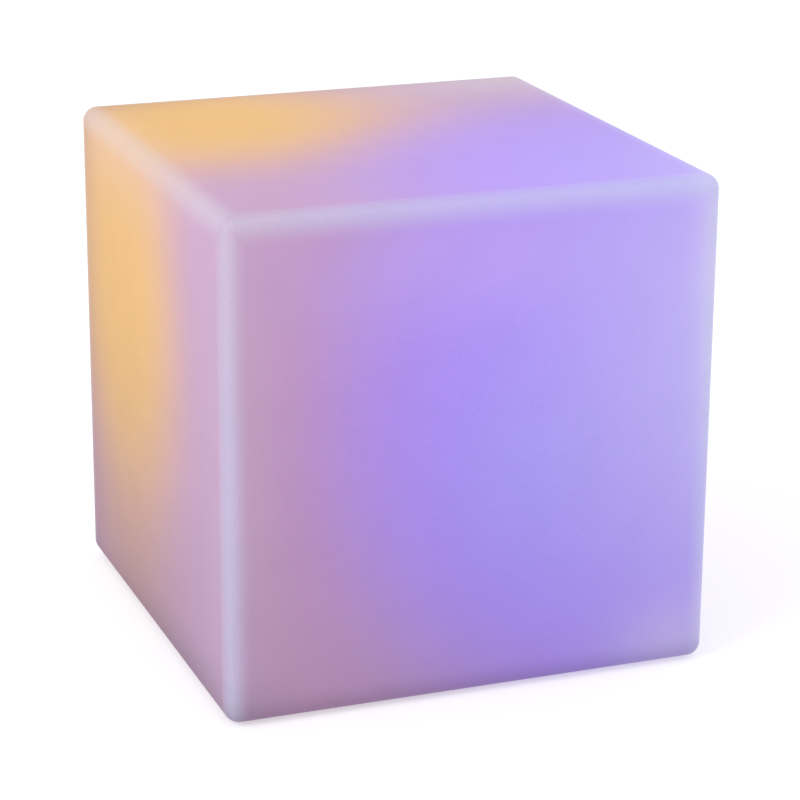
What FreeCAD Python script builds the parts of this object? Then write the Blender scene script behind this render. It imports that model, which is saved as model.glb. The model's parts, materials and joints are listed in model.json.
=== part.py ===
"""Glowing light cube for a garden: a hollow moulded shell lit by a sealed module in its base.

Millimetres, +Z up. The origin is on the floor, under the middle of the cube. The front face
looks along -Y. Every level and radius is a formula of the cells of the sheet "dims".
"""
import FreeCAD, Part

import math
import os

import Sketcher

doc = FreeCAD.newDocument("light_cube")
sheet = doc.addObject("Spreadsheet::Sheet", "dims")

DIMENSIONS = {
    # the shell and what it stands on
    "cube_side": 400,
    "edge_radius": 12,
    "shell_wall": 3.5,
    "foot_height": 2,
    "foot_radius": 13,
    "foot_seat_depth": 1.5,
    "foot_inset": 45,
    "foot_fit": 0.1,
    "foot_chamfer": 0.8,
    # the recess in the base that takes the light module
    "recess_radius": 76,
    "recess_depth": 16,
    "recess_mouth_radius": 3,
    "opening_radius": 59,
    "insert_count": 6,
    "insert_circle_radius": 68,
    "insert_boss_radius": 6,
    "insert_boss_height": 11,
    "insert_radius": 3.2,
    "insert_bore_radius": 2,
    "insert_length": 8,
    "screw_tip_gap": 0.2,
    "boss_end_wall": 1,
    # the module's flanged cup
    "gasket_thickness": 1.5,
    "gasket_margin": 0.5,
    "gasket_hole_gap": 0.3,
    "flange_radius": 74,
    "flange_thickness": 3,
    "flange_hole_radius": 2.3,
    "flange_chamfer": 1,
    "groove_radius": 52,
    "groove_width": 1.6,
    "groove_depth": 0.8,
    "bezel_radius": 9.6,
    "bezel_height": 0.8,
    "cup_radius": 57,
    "cup_wall": 2.5,
    "cup_height": 34.5,
    "flange_screw_length": 14,
    "flange_screw_shank_radius": 1.9,
    "flange_screw_head_radius": 4,
    "flange_screw_head_height": 2.4,
    # the push button and the switch over it
    "button_across": -24,
    "button_along": -20,
    "button_radius": 7,
    "button_hole_radius": 7.3,
    "button_proud": 1.5,
    "button_dish": 0.5,
    "button_bevel": 0.8,
    "button_lip_radius": 8.4,
    "button_lip_height": 1,
    "button_lip_gap": 0.1,
    "button_seat_radius": 8.7,
    "button_seat_depth": 1.5,
    "button_stem_radius": 2.2,
    "button_stem_height": 4,
    "seal_clearance": 0.05,
    "seal_seat_gap": 0.1,
    "switch_side": 12,
    "switch_height": 3.4,
    "switch_roof": 0.4,
    "switch_travel_room": 1.6,
    "switch_plunger_radius": 1.7,
    "switch_plunger_gap": 0.2,
    # the charger's socket and the plug that closes it
    "socket_across": 10,
    "socket_along": -20,
    "socket_well_radius": 5.4,
    "socket_body_radius": 4.9,
    "socket_bore_radius": 2.85,
    "socket_bore_depth": 9.2,
    "socket_collar_radius": 5.9,
    "socket_collar_height": 1.5,
    "socket_pin_radius": 1,
    "socket_pin_inset": 1,
    "socket_pin_taper": 0.3,
    "socket_gasket_thickness": 0.6,
    "socket_gasket_inner_radius": 3.45,
    "plug_cap_radius": 8,
    "plug_cap_thickness": 1.6,
    "plug_cap_bevel": 0.6,
    "plug_stem_radius": 4.6,
    "plug_stem_height": 2.2,
    "plug_stem_bevel": 0.5,
    "plug_gap": 0.1,
    "tether_reach": 14,
    "tether_width": 5,
    "tether_thickness": 1.2,
    "tether_gap": 0.3,
    "plug_tab_reach": 11,
    "anchor_radius": 3.6,
    "anchor_bevel": 0.4,
    "anchor_hole_radius": 1.5,
    "anchor_stem_radius": 1.45,
    "anchor_barb_radius": 2.4,
    "anchor_barb_height": 1.8,
    # the charge indicator
    "status_across": 10,
    "status_along": -40,
    "status_radius": 2,
    "status_hole_radius": 2.05,
    "status_proud": 0.3,
    "status_bevel": 0.4,
    "status_collar_radius": 3,
    "status_collar_height": 1,
    "status_pipe_height": 4,
    # the circuit board
    "board_standoff": 11,
    "board_width": 76,
    "board_depth": 32,
    "board_middle_along": -20,
    "board_thickness": 1.6,
    "post_radius": 3,
    "post_inset": 4,
    "board_hole_radius": 1.3,
    "board_screw_hole_radius": 1.1,
    "board_screw_radius": 1.05,
    "board_screw_length": 7,
    "board_screw_head_radius": 2.2,
    "board_screw_head_height": 1.4,
    "transistor_pitch": 6.5,
    "transistor_count": 4,
    "capacitor_across": -20,
    "capacitor_along": -31,
    "capacitor_radius": 3.1,
    "capacitor_height": 7,
    "capacitor_pitch": 8,
    "capacitor_count": 2,
    # the cells and what holds them
    "cell_radius": 9.2,
    "cell_length": 65,
    "cell_pitch": 19.4,
    "cells_along": 19.5,
    "cradle_base": 2,
    "cradle_trough_radius": 9.4,
    "cradle_length": 69,
    "cradle_cavity_length": 66.4,
    "cradle_depth": 39,
    "strip_thickness": 0.3,
    "strip_overhang": 4,
    "strip_width": 7,
    "clamp_width": 10,
    "clamp_thickness": 2.5,
    "clamp_gap": 0.2,
    # the plate, the lamps and the dome that close the cup
    "plate_thickness": 2,
    "lead_hole_radius": 4,
    "pad_thickness": 0.5,
    "led_board_radius": 44,
    "led_board_thickness": 1.6,
    "colour_lamp_side": 5,
    "colour_lamp_height": 1.6,
    "colour_lamp_circle_radius": 36,
    "colour_lamp_count": 18,
    "white_lamp_side": 3.5,
    "white_lamp_height": 1.2,
    "white_lamp_circle_radius": 18,
    "white_lamp_count": 8,
    "lens_seal_thickness": 1,
    "lens_seal_inner_radius": 46.8,
    "dome_rise": 26,
    "dome_foot_radius": 50,
    "dome_wall": 2,
    "dome_flange_radius": 56,
    "dome_flange_thickness": 2,
    "lens_ring_inner_radius": 49.4,
    "lens_ring_thickness": 2,
    "lens_screw_count": 6,
    "lens_screw_circle_radius": 52.4,
    "lens_pilot_radius": 1.45,
    "lens_screw_radius": 1.4,
    "lens_screw_hole_radius": 1.7,
    "lens_screw_length": 14,
    "lens_screw_head_radius": 2.6,
    "lens_screw_head_height": 1.6,
    "lens_boss_radius": 3.6,
    "lens_boss_height": 10,
    "pilot_end_wall": 1,
    # wires
    "battery_lead_radius": 0.8,
    "led_lead_radius": 0.5,
    "lead_bend": 2.5,
    "lead_rise": 4.2,
    "lead_side_room": 4.6,
    "battery_pin_inset": 1.7,
    "battery_pin_pitch": 2.6,
    "pin_pitch": 2.2,
    "lead_hole_pitch": 1.3,
    "lead_hole_room": 3.5,
}

# What sits on the board and under it: each piece's low corner, across and along, then its three sides
BOARD_PIECES = {
    "controller_chip": ((-2.5, -26), (8.7, 3.9, 1.6)),
    "power_inductor": ((-34, -25), (8, 8, 4.2)),
    "radio_module": ((14, -27), (16, 9, 2.2)),
    "battery_connector": ((-26, -12), (6, 5, 6)),
    "led_connector": ((19.5, -16.5), (5, 12, 6)),
    "driver_transistors": ((3.5, -33), (4, 3, 1.5)),
    "status_led": ((8.4, -35.6), (3.2, 2.8, 1.1)),
}
for name, (corner, sides) in BOARD_PIECES.items():
    for ending, value in zip(("across", "along", "length", "width", "height"), corner + sides):
        DIMENSIONS[f"{name}_{ending}"] = value

for row, (alias, value) in enumerate(DIMENSIONS.items(), start=1):
    sheet.set(f"A{row}", alias.replace("_", " "))
    sheet.set(f"B{row}", str(value))
    sheet.setAlias(f"B{row}", alias)
doc.recompute()

# Levels, from the floor up
SHELL_BASE = "dims.foot_height"
SHELL_HEIGHT = "(dims.cube_side - dims.foot_height)"
LANDING = f"({SHELL_BASE} + dims.recess_depth)"
LANDING_TOP = f"({LANDING} + dims.shell_wall)"
FLOOR = f"({LANDING} - dims.gasket_thickness)"
FACE = f"({FLOOR} - dims.flange_thickness)"
RIM = f"({FACE} + dims.cup_height)"
BOARD = f"({FLOOR} + dims.board_standoff)"
BOARD_TOP = f"({BOARD} + dims.board_thickness)"
CELL_AXIS = f"({FLOOR} + dims.cradle_base + dims.cell_radius)"
PLATE_TOP = f"({RIM} + dims.plate_thickness)"
PAD_TOP = f"({PLATE_TOP} + dims.pad_thickness)"
LED_BOARD_TOP = f"({PAD_TOP} + dims.led_board_thickness)"
DOME_FOOT = f"({PLATE_TOP} + dims.lens_seal_thickness)"
DOME_FLANGE_TOP = f"({DOME_FOOT} + dims.dome_flange_thickness)"
LENS_RING_TOP = f"({DOME_FLANGE_TOP} + dims.lens_ring_thickness)"
BUTTON_TOP = f"({FLOOR} + dims.button_lip_gap + dims.button_lip_height + dims.button_stem_height)"
SOCKET_MOUTH = f"({FLOOR} + dims.socket_gasket_thickness)"
HINGE_LEVEL = f"({FACE} - dims.plug_gap - dims.tether_thickness / 2)"

TINY = 0.01
OVERSHOOT = 1


def size(name):
    """A cell's number."""
    return float(sheet.get(name))


def bind(thing, **formulas):
    """Ties properties to formulas. A double underscore in a name stands for a dot."""
    for name, formula in formulas.items():
        thing.setExpression(name.replace("__", "."), formula)
    return thing


def place(thing, across="0", along="0", level="0"):
    return bind(thing, Placement__Base__x=across, Placement__Base__y=along, Placement__Base__z=level)


def new_body(label, across="0", along="0"):
    body = doc.addObject("PartDesign::Body", label)
    body.Label = label
    return place(body, across, along)


def origin_feature(body, role):
    return next(item for item in body.Origin.OriginFeatures if item.Role == role)


def outline(body, name, plane, corners):
    """A closed outline of straight lines whose corners stand at (across, up) formulas.

    The corners start on a circle, in order, and the constraints carry them to their places.
    """
    sketch = body.newObject("Sketcher::SketchObject", name)
    sketch.AttachmentSupport = [(origin_feature(body, plane), "")]
    sketch.MapMode = "FlatFace"
    count = len(corners)
    start_circle = 50
    points = []
    for index in range(count):
        turn = 2 * math.pi * index / count
        points.append(FreeCAD.Vector(math.cos(turn) + 1.2, math.sin(turn) + 1.2, 0) * start_circle)
    for index in range(count):
        sketch.addGeometry(Part.LineSegment(points[index], points[(index + 1) % count]))
    for index in range(count):
        sketch.addConstraint(Sketcher.Constraint("Coincident", (index - 1) % count, 2, index, 1))
    for index, corner in enumerate(corners):
        starts = (points[index].x, points[index].y)
        for kind, formula, axis, start in zip(("DistanceX", "DistanceY"), corner, (-2, -1), starts):
            if formula == "0":
                sketch.addConstraint(Sketcher.Constraint("PointOnObject", index, 1, axis))
            else:
                row = sketch.addConstraint(Sketcher.Constraint(kind, -1, 1, index, 1, start))
                sketch.setExpression(f"Constraints[{row}]", formula)
    return sketch


def revolve(body, name, corners, cut=False):
    """Turns an outline of (radius, level) corners round the body's own upright axis."""
    sketch = outline(body, f"{name}_outline", "XZ_Plane", corners)
    kind = "PartDesign::Groove" if cut else "PartDesign::Revolution"
    feature = body.newObject(kind, name)
    feature.Profile = sketch
    feature.ReferenceAxis = (sketch, ["V_Axis"])
    feature.Angle = 360
    return feature


def turned(label, corners, across="0", along="0"):
    body = new_body(label, across, along)
    revolve(body, f"{label}_turned", corners)
    return body


def ring_corners(inner, outer, bottom, top):
    return [(inner, bottom), (outer, bottom), (outer, top), (inner, top)]


def drum(body, name, radius, bottom, height, across="0", along="0", cut=False):
    kind = "PartDesign::SubtractiveCylinder" if cut else "PartDesign::AdditiveCylinder"
    feature = bind(body.newObject(kind, name), Radius=radius, Height=height)
    return place(feature, across, along, bottom)


def brick(body, name, corner, sides, cut=False):
    """A block from its lowest corner and its three sides, all formulas."""
    kind = "PartDesign::SubtractiveBox" if cut else "PartDesign::AdditiveBox"
    feature = bind(body.newObject(kind, name), Length=sides[0], Width=sides[1], Height=sides[2])
    return place(feature, *corner)


def polar(body, name, features, count):
    pattern = body.newObject("PartDesign::PolarPattern", name)
    pattern.Originals = features
    pattern.Axis = (origin_feature(body, "Z_Axis"), [""])
    pattern.Angle = 360
    bind(pattern, Occurrences=count)
    body.Tip = pattern
    return pattern


def rounded(body, name, base, edges, radius):
    fillet = body.newObject("PartDesign::Fillet", name)
    fillet.Base = (base, edges)
    bind(fillet, Radius=radius)
    doc.recompute()
    return fillet


def edges_where(feature, test):
    """Names of the feature's edges for which test(edge) holds."""
    edges = enumerate(feature.Shape.Edges, start=1)
    return [f"Edge{index}" for index, edge in edges if test(edge)]


def is_circle(edge, radius, level):
    """True for a level circle of that radius at that level."""
    if edge.Degenerated or not isinstance(edge.Curve, Part.Circle):
        return False
    centre = edge.Curve.Center
    return abs(edge.Curve.Radius - radius) < TINY and abs(centre.z - level) < TINY


def box_piece(label, corner, sides):
    """A single plain block as a piece of its own."""
    block = doc.addObject("Part::Box", label)
    block.Label = label
    bind(block, Length=sides[0], Width=sides[1], Height=sides[2])
    return place(block, *corner)


def sides_of(label):
    """The three sides of a piece of the board, as formulas."""
    return tuple(f"dims.{label}_{ending}" for ending in ("length", "width", "height"))


def board_piece(label, level):
    return box_piece(label, (f"dims.{label}_across", f"dims.{label}_along", level), sides_of(label))


SLOT_WIDTH_SHARE = 0.3
SLOT_LENGTH_SHARE = 1.2
SLOT_DEPTH_SHARE = 0.6


def screw(body, name, circle, seat, outward, shank_radius, shank_length, head_radius, head_height):
    """One cross-recess screw on the +X side; outward is +1 for a head that faces up, -1 for down.

    The cross is two slots, in shares of the head's radius, sunk by a share of its height.
    """
    slot_width = f"({head_radius} * {SLOT_WIDTH_SHARE})"
    slot_length = f"({head_radius} * {SLOT_LENGTH_SHARE})"
    slot_depth = f"({head_height} * {SLOT_DEPTH_SHARE})"
    if outward > 0:
        shank_bottom = f"({seat} - {shank_length})"
        head_bottom = seat
        slot_bottom = f"({seat} + {head_height} - {slot_depth})"
    else:
        shank_bottom = seat
        head_bottom = f"({seat} - {head_height})"
        slot_bottom = head_bottom
    features = [
        drum(body, f"{name}_shank", shank_radius, shank_bottom, shank_length, circle),
        drum(body, f"{name}_head", head_radius, head_bottom, head_height, circle),
    ]
    for way, (along_x, along_y) in enumerate(((slot_length, slot_width), (slot_width, slot_length))):
        corner = (f"{circle} - {along_x} / 2", f"-{along_y} / 2", slot_bottom)
        sides = (along_x, along_y, slot_depth)
        features.append(brick(body, f"{name}_slot_{way}", corner, sides, cut=True))
    return features


# ---------------------------------------------------------------- shell and base

FOOT_COUNT = "4"


def make_shell():
    """Hollow cube with rounded edges, its base turned in as a round recess with an opening."""
    body = new_body("shell")
    half = "dims.cube_side / 2"
    side = "dims.cube_side"
    wall = "dims.shell_wall"
    outer = brick(body, "outer_block", (f"-{half}", f"-{half}", SHELL_BASE), (side, side, SHELL_HEIGHT))
    inner_corner = (f"-{half} + {wall}", f"-{half} + {wall}", f"{SHELL_BASE} + {wall}")
    inner_side = f"{side} - 2 * {wall}"
    inner_sides = (inner_side, inner_side, f"{SHELL_HEIGHT} - 2 * {wall}")
    cavity = brick(body, "cavity", inner_corner, inner_sides, cut=True)
    doc.recompute()
    # the cavity is rounded first, while the outside is still sharp and the wall unbroken
    near_skin = FreeCAD.BoundBox(outer.Shape.BoundBox)
    near_skin.enlarge(TINY - size("shell_wall"))
    inner_edges = edges_where(cavity, lambda edge: near_skin.isInside(edge.BoundBox))
    inside = rounded(body, "inner_rounding", cavity, inner_edges, f"dims.edge_radius - {wall}")
    outer_edges = edges_where(inside, lambda edge: not near_skin.isInside(edge.BoundBox))
    rounded(body, "outer_rounding", inside, outer_edges, "dims.edge_radius")

    # the recess's cup, its bosses, then the recess and the opening cut through them
    cup = f"dims.recess_radius + {wall}"
    drum(body, "recess_cup", cup, f"{SHELL_BASE} + {wall} / 2", f"dims.recess_depth + {wall} / 2")
    boss = drum(body, "insert_boss", "dims.insert_boss_radius", LANDING, "dims.insert_boss_height",
                "dims.insert_circle_radius")
    polar(body, "insert_bosses", [boss], "dims.insert_count")
    socket = drum(body, "insert_socket", "dims.insert_radius", LANDING, "dims.insert_length",
                  "dims.insert_circle_radius", cut=True)
    polar(body, "insert_sockets", [socket], "dims.insert_count")
    tip_room = drum(body, "screw_tip_room", "dims.insert_bore_radius + dims.screw_tip_gap", LANDING,
                    "dims.insert_boss_height - dims.boss_end_wall", "dims.insert_circle_radius", cut=True)
    polar(body, "screw_tip_rooms", [tip_room], "dims.insert_count")
    drum(body, "recess", "dims.recess_radius", "0", LANDING, cut=True)
    opening = drum(body, "opening", "dims.opening_radius", "0", f"{LANDING_TOP} + {OVERSHOOT}", cut=True)
    doc.recompute()
    base = size("foot_height")
    mouth = edges_where(opening, lambda edge: is_circle(edge, size("recess_radius"), base))
    rounded(body, "recess_mouth", opening, mouth, "dims.recess_mouth_radius")

    spot = "dims.cube_side / 2 - dims.foot_inset"
    seat = drum(body, "foot_seat", "dims.foot_radius", SHELL_BASE, "dims.foot_seat_depth", spot, spot,
                cut=True)
    polar(body, "foot_seats", [seat], FOOT_COUNT)


def make_feet():
    """Four round pads with a chamfered edge, in the seats of the base."""
    body = new_body("feet")
    spot = "dims.cube_side / 2 - dims.foot_inset"
    height = "dims.foot_height + dims.foot_seat_depth"
    pad = drum(body, "foot", "dims.foot_radius - dims.foot_fit", "0", height, spot, spot)
    doc.recompute()
    tread = edges_where(pad, lambda edge: is_circle(edge, size("foot_radius") - size("foot_fit"), 0))
    chamfer = body.newObject("PartDesign::Chamfer", "foot_chamfer")
    chamfer.Base = (pad, tread)
    bind(chamfer, Size="dims.foot_chamfer")
    doc.recompute()
    body.Tip = chamfer
    polar(body, "four_feet", [pad, chamfer], FOOT_COUNT)


def make_shell_inserts():
    body = new_body("shell_inserts")
    place_of_one = (LANDING, "dims.insert_length", "dims.insert_circle_radius")
    barrel = drum(body, "insert", "dims.insert_radius", *place_of_one)
    bore = drum(body, "insert_bore", "dims.insert_bore_radius", *place_of_one, cut=True)
    polar(body, "inserts", [barrel, bore], "dims.insert_count")


def make_flange_gasket():
    body = new_body("flange_gasket")
    inner = "dims.opening_radius + dims.gasket_margin"
    outer = "dims.flange_radius - dims.gasket_margin"
    revolve(body, "gasket", ring_corners(inner, outer, FLOOR, LANDING))
    hole = drum(body, "gasket_hole", "dims.flange_hole_radius + dims.gasket_hole_gap", FLOOR,
                "dims.gasket_thickness", "dims.insert_circle_radius", cut=True)
    polar(body, "gasket_holes", [hole], "dims.insert_count")


def make_flange_screws():
    body = new_body("flange_screws")
    parts = screw(body, "flange_screw", "dims.insert_circle_radius", FACE, -1,
                  "dims.flange_screw_shank_radius", "dims.flange_screw_length",
                  "dims.flange_screw_head_radius", "dims.flange_screw_head_height")
    polar(body, "six_flange_screws", parts, "dims.insert_count")


# ---------------------------------------------------------------- module housing

BOARD_CORNER_ACROSS = "(dims.board_width / 2 - dims.post_inset)"
BOARD_CORNER_ALONG = "(dims.board_depth / 2 - dims.post_inset)"
BOARD_CORNERS = [(f"{side}{BOARD_CORNER_ACROSS}", f"dims.board_middle_along {end} {BOARD_CORNER_ALONG}")
                 for side in ("-", "") for end in ("-", "+")]


def make_module_housing():
    """Flanged cup with holes for button, socket and indicator, board posts and rim bosses."""
    body = new_body("module_housing")
    inner = "dims.cup_radius - dims.cup_wall"
    revolve(body, "cup", [
        ("0", FACE), ("dims.flange_radius - dims.flange_chamfer", FACE),
        ("dims.flange_radius", f"{FACE} + dims.flange_chamfer"), ("dims.flange_radius", FLOOR),
        ("dims.cup_radius", FLOOR), ("dims.cup_radius", RIM), (inner, RIM), (inner, FLOOR), ("0", FLOOR),
    ])
    groove_inner = "dims.groove_radius - dims.groove_width / 2"
    groove_outer = "dims.groove_radius + dims.groove_width / 2"
    groove_top = f"{FACE} + dims.groove_depth"
    revolve(body, "ring_groove", ring_corners(groove_inner, groove_outer, FACE, groove_top), cut=True)
    drum(body, "button_bezel", "dims.bezel_radius", f"{FACE} - dims.bezel_height",
         f"dims.bezel_height + {OVERSHOOT}", "dims.button_across", "dims.button_along")
    boss_bottom = f"{RIM} - dims.lens_boss_height"
    boss = drum(body, "rim_boss", "dims.lens_boss_radius", boss_bottom, "dims.lens_boss_height",
                "dims.lens_screw_circle_radius")
    polar(body, "rim_bosses", [boss], "dims.lens_screw_count")
    for index, spot in enumerate(BOARD_CORNERS):
        drum(body, f"board_post_{index}", "dims.post_radius", FLOOR, "dims.board_standoff", *spot)
        drum(body, f"board_post_hole_{index}", "dims.board_screw_hole_radius",
             f"{BOARD} - dims.board_screw_length", "dims.board_screw_length", *spot, cut=True)
    # holes through the floor and the flange
    button = ("dims.button_across", "dims.button_along")
    drum(body, "button_hole", "dims.button_hole_radius", f"{FACE} - dims.bezel_height",
         "dims.flange_thickness + dims.bezel_height", *button, cut=True)
    drum(body, "seal_seat", "dims.button_seat_radius", f"{FLOOR} - dims.button_seat_depth",
         "dims.button_seat_depth", *button, cut=True)
    drum(body, "socket_well", "dims.socket_well_radius", FACE, "dims.flange_thickness",
         "dims.socket_across", "dims.socket_along", cut=True)
    drum(body, "anchor_hole", "dims.anchor_hole_radius", FACE, "dims.flange_thickness",
         ANCHOR_ACROSS, "dims.socket_along", cut=True)
    drum(body, "status_hole", "dims.status_hole_radius", FACE, "dims.flange_thickness",
         "dims.status_across", "dims.status_along", cut=True)
    hole = drum(body, "flange_hole", "dims.flange_hole_radius", FACE, "dims.flange_thickness",
                "dims.insert_circle_radius", cut=True)
    polar(body, "flange_holes", [hole], "dims.insert_count")
    pilot = drum(body, "rim_pilot", "dims.lens_pilot_radius", f"{boss_bottom} + dims.pilot_end_wall",
                 "dims.lens_boss_height - dims.pilot_end_wall", "dims.lens_screw_circle_radius", cut=True)
    polar(body, "rim_pilots", [pilot], "dims.lens_screw_count")


# ---------------------------------------------------------------- button and switch

def make_power_button():
    """Dished round cap that stands proud of the base, a lip that keeps it in, a stem to the switch."""
    cap = "dims.button_radius"
    crown = f"{FACE} - dims.button_proud"
    lip_bottom = f"{FLOOR} + dims.button_lip_gap"
    lip_top = f"{lip_bottom} + dims.button_lip_height"
    turned("power_button", [
        ("0", f"{crown} + dims.button_dish"), (f"{cap} - dims.button_bevel", crown),
        (cap, f"{crown} + dims.button_bevel"), (cap, lip_bottom), ("dims.button_lip_radius", lip_bottom),
        ("dims.button_lip_radius", lip_top), ("dims.button_stem_radius", lip_top),
        ("dims.button_stem_radius", BUTTON_TOP), ("0", BUTTON_TOP),
    ], "dims.button_across", "dims.button_along")


def make_button_seal():
    inner = "dims.button_radius + dims.seal_clearance"
    outer = "dims.button_seat_radius - dims.seal_seat_gap"
    seat = f"{FLOOR} - dims.button_seat_depth"
    turned("button_seal", ring_corners(inner, outer, seat, FLOOR), "dims.button_across", "dims.button_along")


def make_switch():
    """Switch body under the board, open round its plunger, and the plunger that rests on the stem."""
    body = new_body("tact_switch", "dims.button_across", "dims.button_along")
    half = "dims.switch_side / 2"
    bottom = f"{BOARD} - dims.switch_height"
    brick(body, "switch_block", (f"-{half}", f"-{half}", bottom),
          ("dims.switch_side", "dims.switch_side", "dims.switch_height"))
    drum(body, "plunger_room", "dims.switch_plunger_radius + dims.switch_plunger_gap", bottom,
         "dims.switch_height - dims.switch_roof", cut=True)
    foot = f"{BOARD} - dims.switch_travel_room"
    turned("switch_plunger", [("0", BUTTON_TOP), ("dims.switch_plunger_radius", BUTTON_TOP),
                              ("dims.switch_plunger_radius", foot), ("0", foot)],
           "dims.button_across", "dims.button_along")


# ---------------------------------------------------------------- charging socket and its plug

STRAP_END = "dims.socket_across + dims.tether_reach + dims.tether_thickness / 2"
ANCHOR_ACROSS = f"({STRAP_END} + dims.tether_gap + dims.anchor_radius)"


def make_charge_socket():
    """Upright barrel socket on the board with its mouth in the flange, its pin and its gasket."""
    spot = ("dims.socket_across", "dims.socket_along")
    pin = "dims.socket_pin_radius"
    collar = "dims.socket_collar_radius"
    bore_top = f"{SOCKET_MOUTH} + dims.socket_bore_depth"
    collar_top = f"{SOCKET_MOUTH} + dims.socket_collar_height"
    turned("charge_socket", [
        (pin, bore_top), ("dims.socket_bore_radius", bore_top), ("dims.socket_bore_radius", SOCKET_MOUTH),
        (collar, SOCKET_MOUTH), (collar, collar_top), ("dims.socket_body_radius", collar_top),
        ("dims.socket_body_radius", BOARD), (pin, BOARD),
    ], *spot)
    tip = f"{SOCKET_MOUTH} + dims.socket_pin_inset"
    turned("socket_pin", [
        ("0", tip), (f"{pin} - dims.socket_pin_taper", tip), (pin, f"{tip} + dims.socket_pin_taper"),
        (pin, BOARD), ("0", BOARD),
    ], *spot)
    gasket = ring_corners("dims.socket_gasket_inner_radius", collar, FLOOR, SOCKET_MOUTH)
    turned("socket_gasket", gasket, *spot)


def make_port_plug():
    """Cap with a short stem in the well, a finger tab, and a strap that ends round at the hinge."""
    body = new_body("port_plug", "dims.socket_across", "dims.socket_along")
    cap_top = f"({FACE} - dims.plug_gap)"
    cap_bottom = f"({cap_top} - dims.plug_cap_thickness)"
    stem_top = f"({cap_top} + dims.plug_stem_height)"
    rim = "dims.plug_cap_radius"
    stem = "dims.plug_stem_radius"
    revolve(body, "cap", [
        ("0", cap_bottom), (f"{rim} - dims.plug_cap_bevel", cap_bottom),
        (rim, f"{cap_bottom} + dims.plug_cap_bevel"), (rim, cap_top), (stem, cap_top),
        (stem, f"{stem_top} - dims.plug_stem_bevel"), (f"{stem} - dims.plug_stem_bevel", stem_top),
        ("0", stem_top),
    ])
    strap_bottom = f"{HINGE_LEVEL} - dims.tether_thickness / 2"
    edge = "-dims.tether_width / 2"
    brick(body, "tab", ("-dims.plug_tab_reach", edge, strap_bottom),
          ("dims.plug_tab_reach", "dims.tether_width", "dims.tether_thickness"))
    brick(body, "strap", ("0", edge, strap_bottom),
          ("dims.tether_reach", "dims.tether_width", "dims.tether_thickness"))
    knuckle = body.newObject("PartDesign::AdditiveCylinder", "knuckle")
    knuckle.Placement.Rotation = FreeCAD.Rotation(FreeCAD.Vector(1, 0, 0), 90)
    bind(knuckle, Radius="dims.tether_thickness / 2", Height="dims.tether_width")
    place(knuckle, "dims.tether_reach", "dims.tether_width / 2", HINGE_LEVEL)


def make_plug_anchor():
    """Button of silicone with a barbed stem through the flange, a short way from the strap's end."""
    body = new_body("plug_anchor", ANCHOR_ACROSS, "dims.socket_along")
    disc_bottom = f"{FACE} - dims.tether_thickness - dims.plug_gap"
    barb_top = f"{FLOOR} + dims.anchor_barb_height"
    disc = "dims.anchor_radius"
    stem = "dims.anchor_stem_radius"
    revolve(body, "anchor", [
        ("0", disc_bottom), (f"{disc} - dims.anchor_bevel", disc_bottom),
        (disc, f"{disc_bottom} + dims.anchor_bevel"), (disc, FACE), (stem, FACE), (stem, FLOOR),
        ("dims.anchor_barb_radius", FLOOR), (stem, barb_top), ("0", barb_top),
    ])


def make_status_light():
    """Clear light pipe from the underside up to the little lamp under the board."""
    tip = f"{FACE} - dims.status_proud"
    top = f"{FLOOR} + dims.status_pipe_height"
    collar_top = f"{FLOOR} + dims.status_collar_height"
    pipe = "dims.status_radius"
    collar = "dims.status_collar_radius"
    turned("status_lens", [
        ("0", tip), (f"{pipe} - dims.status_bevel", tip), (pipe, FACE), (pipe, FLOOR), (collar, FLOOR),
        (collar, collar_top), (pipe, collar_top), (pipe, top), ("0", top),
    ], "dims.status_across", "dims.status_along")
    board_piece("status_led", f"{BOARD} - dims.status_led_height")


# ---------------------------------------------------------------- circuit board

def make_control_board():
    body = new_body("control_board")
    brick(body, "board", ("-dims.board_width / 2", "dims.board_middle_along - dims.board_depth / 2", BOARD),
          ("dims.board_width", "dims.board_depth", "dims.board_thickness"))
    for index, spot in enumerate(BOARD_CORNERS):
        drum(body, f"board_hole_{index}", "dims.board_hole_radius", BOARD, "dims.board_thickness", *spot,
             cut=True)


def make_board_screws():
    """Four screws at the corners: one is made, then repeated in a two by two grid."""
    body = new_body("board_screws")
    shank = drum(body, "board_screw_shank", "dims.board_screw_radius",
                 f"{BOARD_TOP} - dims.board_screw_length", "dims.board_screw_length", *BOARD_CORNERS[0])
    head = drum(body, "board_screw_head", "dims.board_screw_head_radius", BOARD_TOP,
                "dims.board_screw_head_height", *BOARD_CORNERS[0])
    grid = body.newObject("PartDesign::LinearPattern", "four_board_screws")
    grid.Originals = [shank, head]
    grid.Direction = (origin_feature(body, "X_Axis"), [""])
    grid.Direction2 = (origin_feature(body, "Y_Axis"), [""])
    bind(grid, Length=f"2 * {BOARD_CORNER_ACROSS}", Length2=f"2 * {BOARD_CORNER_ALONG}")
    grid.Occurrences = 2
    grid.Occurrences2 = 2
    body.Tip = grid


def make_row(label, item, body, pitch, count):
    """Repeats a body's first feature along X."""
    row_of = body.newObject("PartDesign::LinearPattern", f"{label}_row")
    row_of.Originals = [item]
    row_of.Direction = (origin_feature(body, "X_Axis"), [""])
    bind(row_of, Length=f"{pitch} * ({count} - 1)", Occurrences=count)
    body.Tip = row_of


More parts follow.
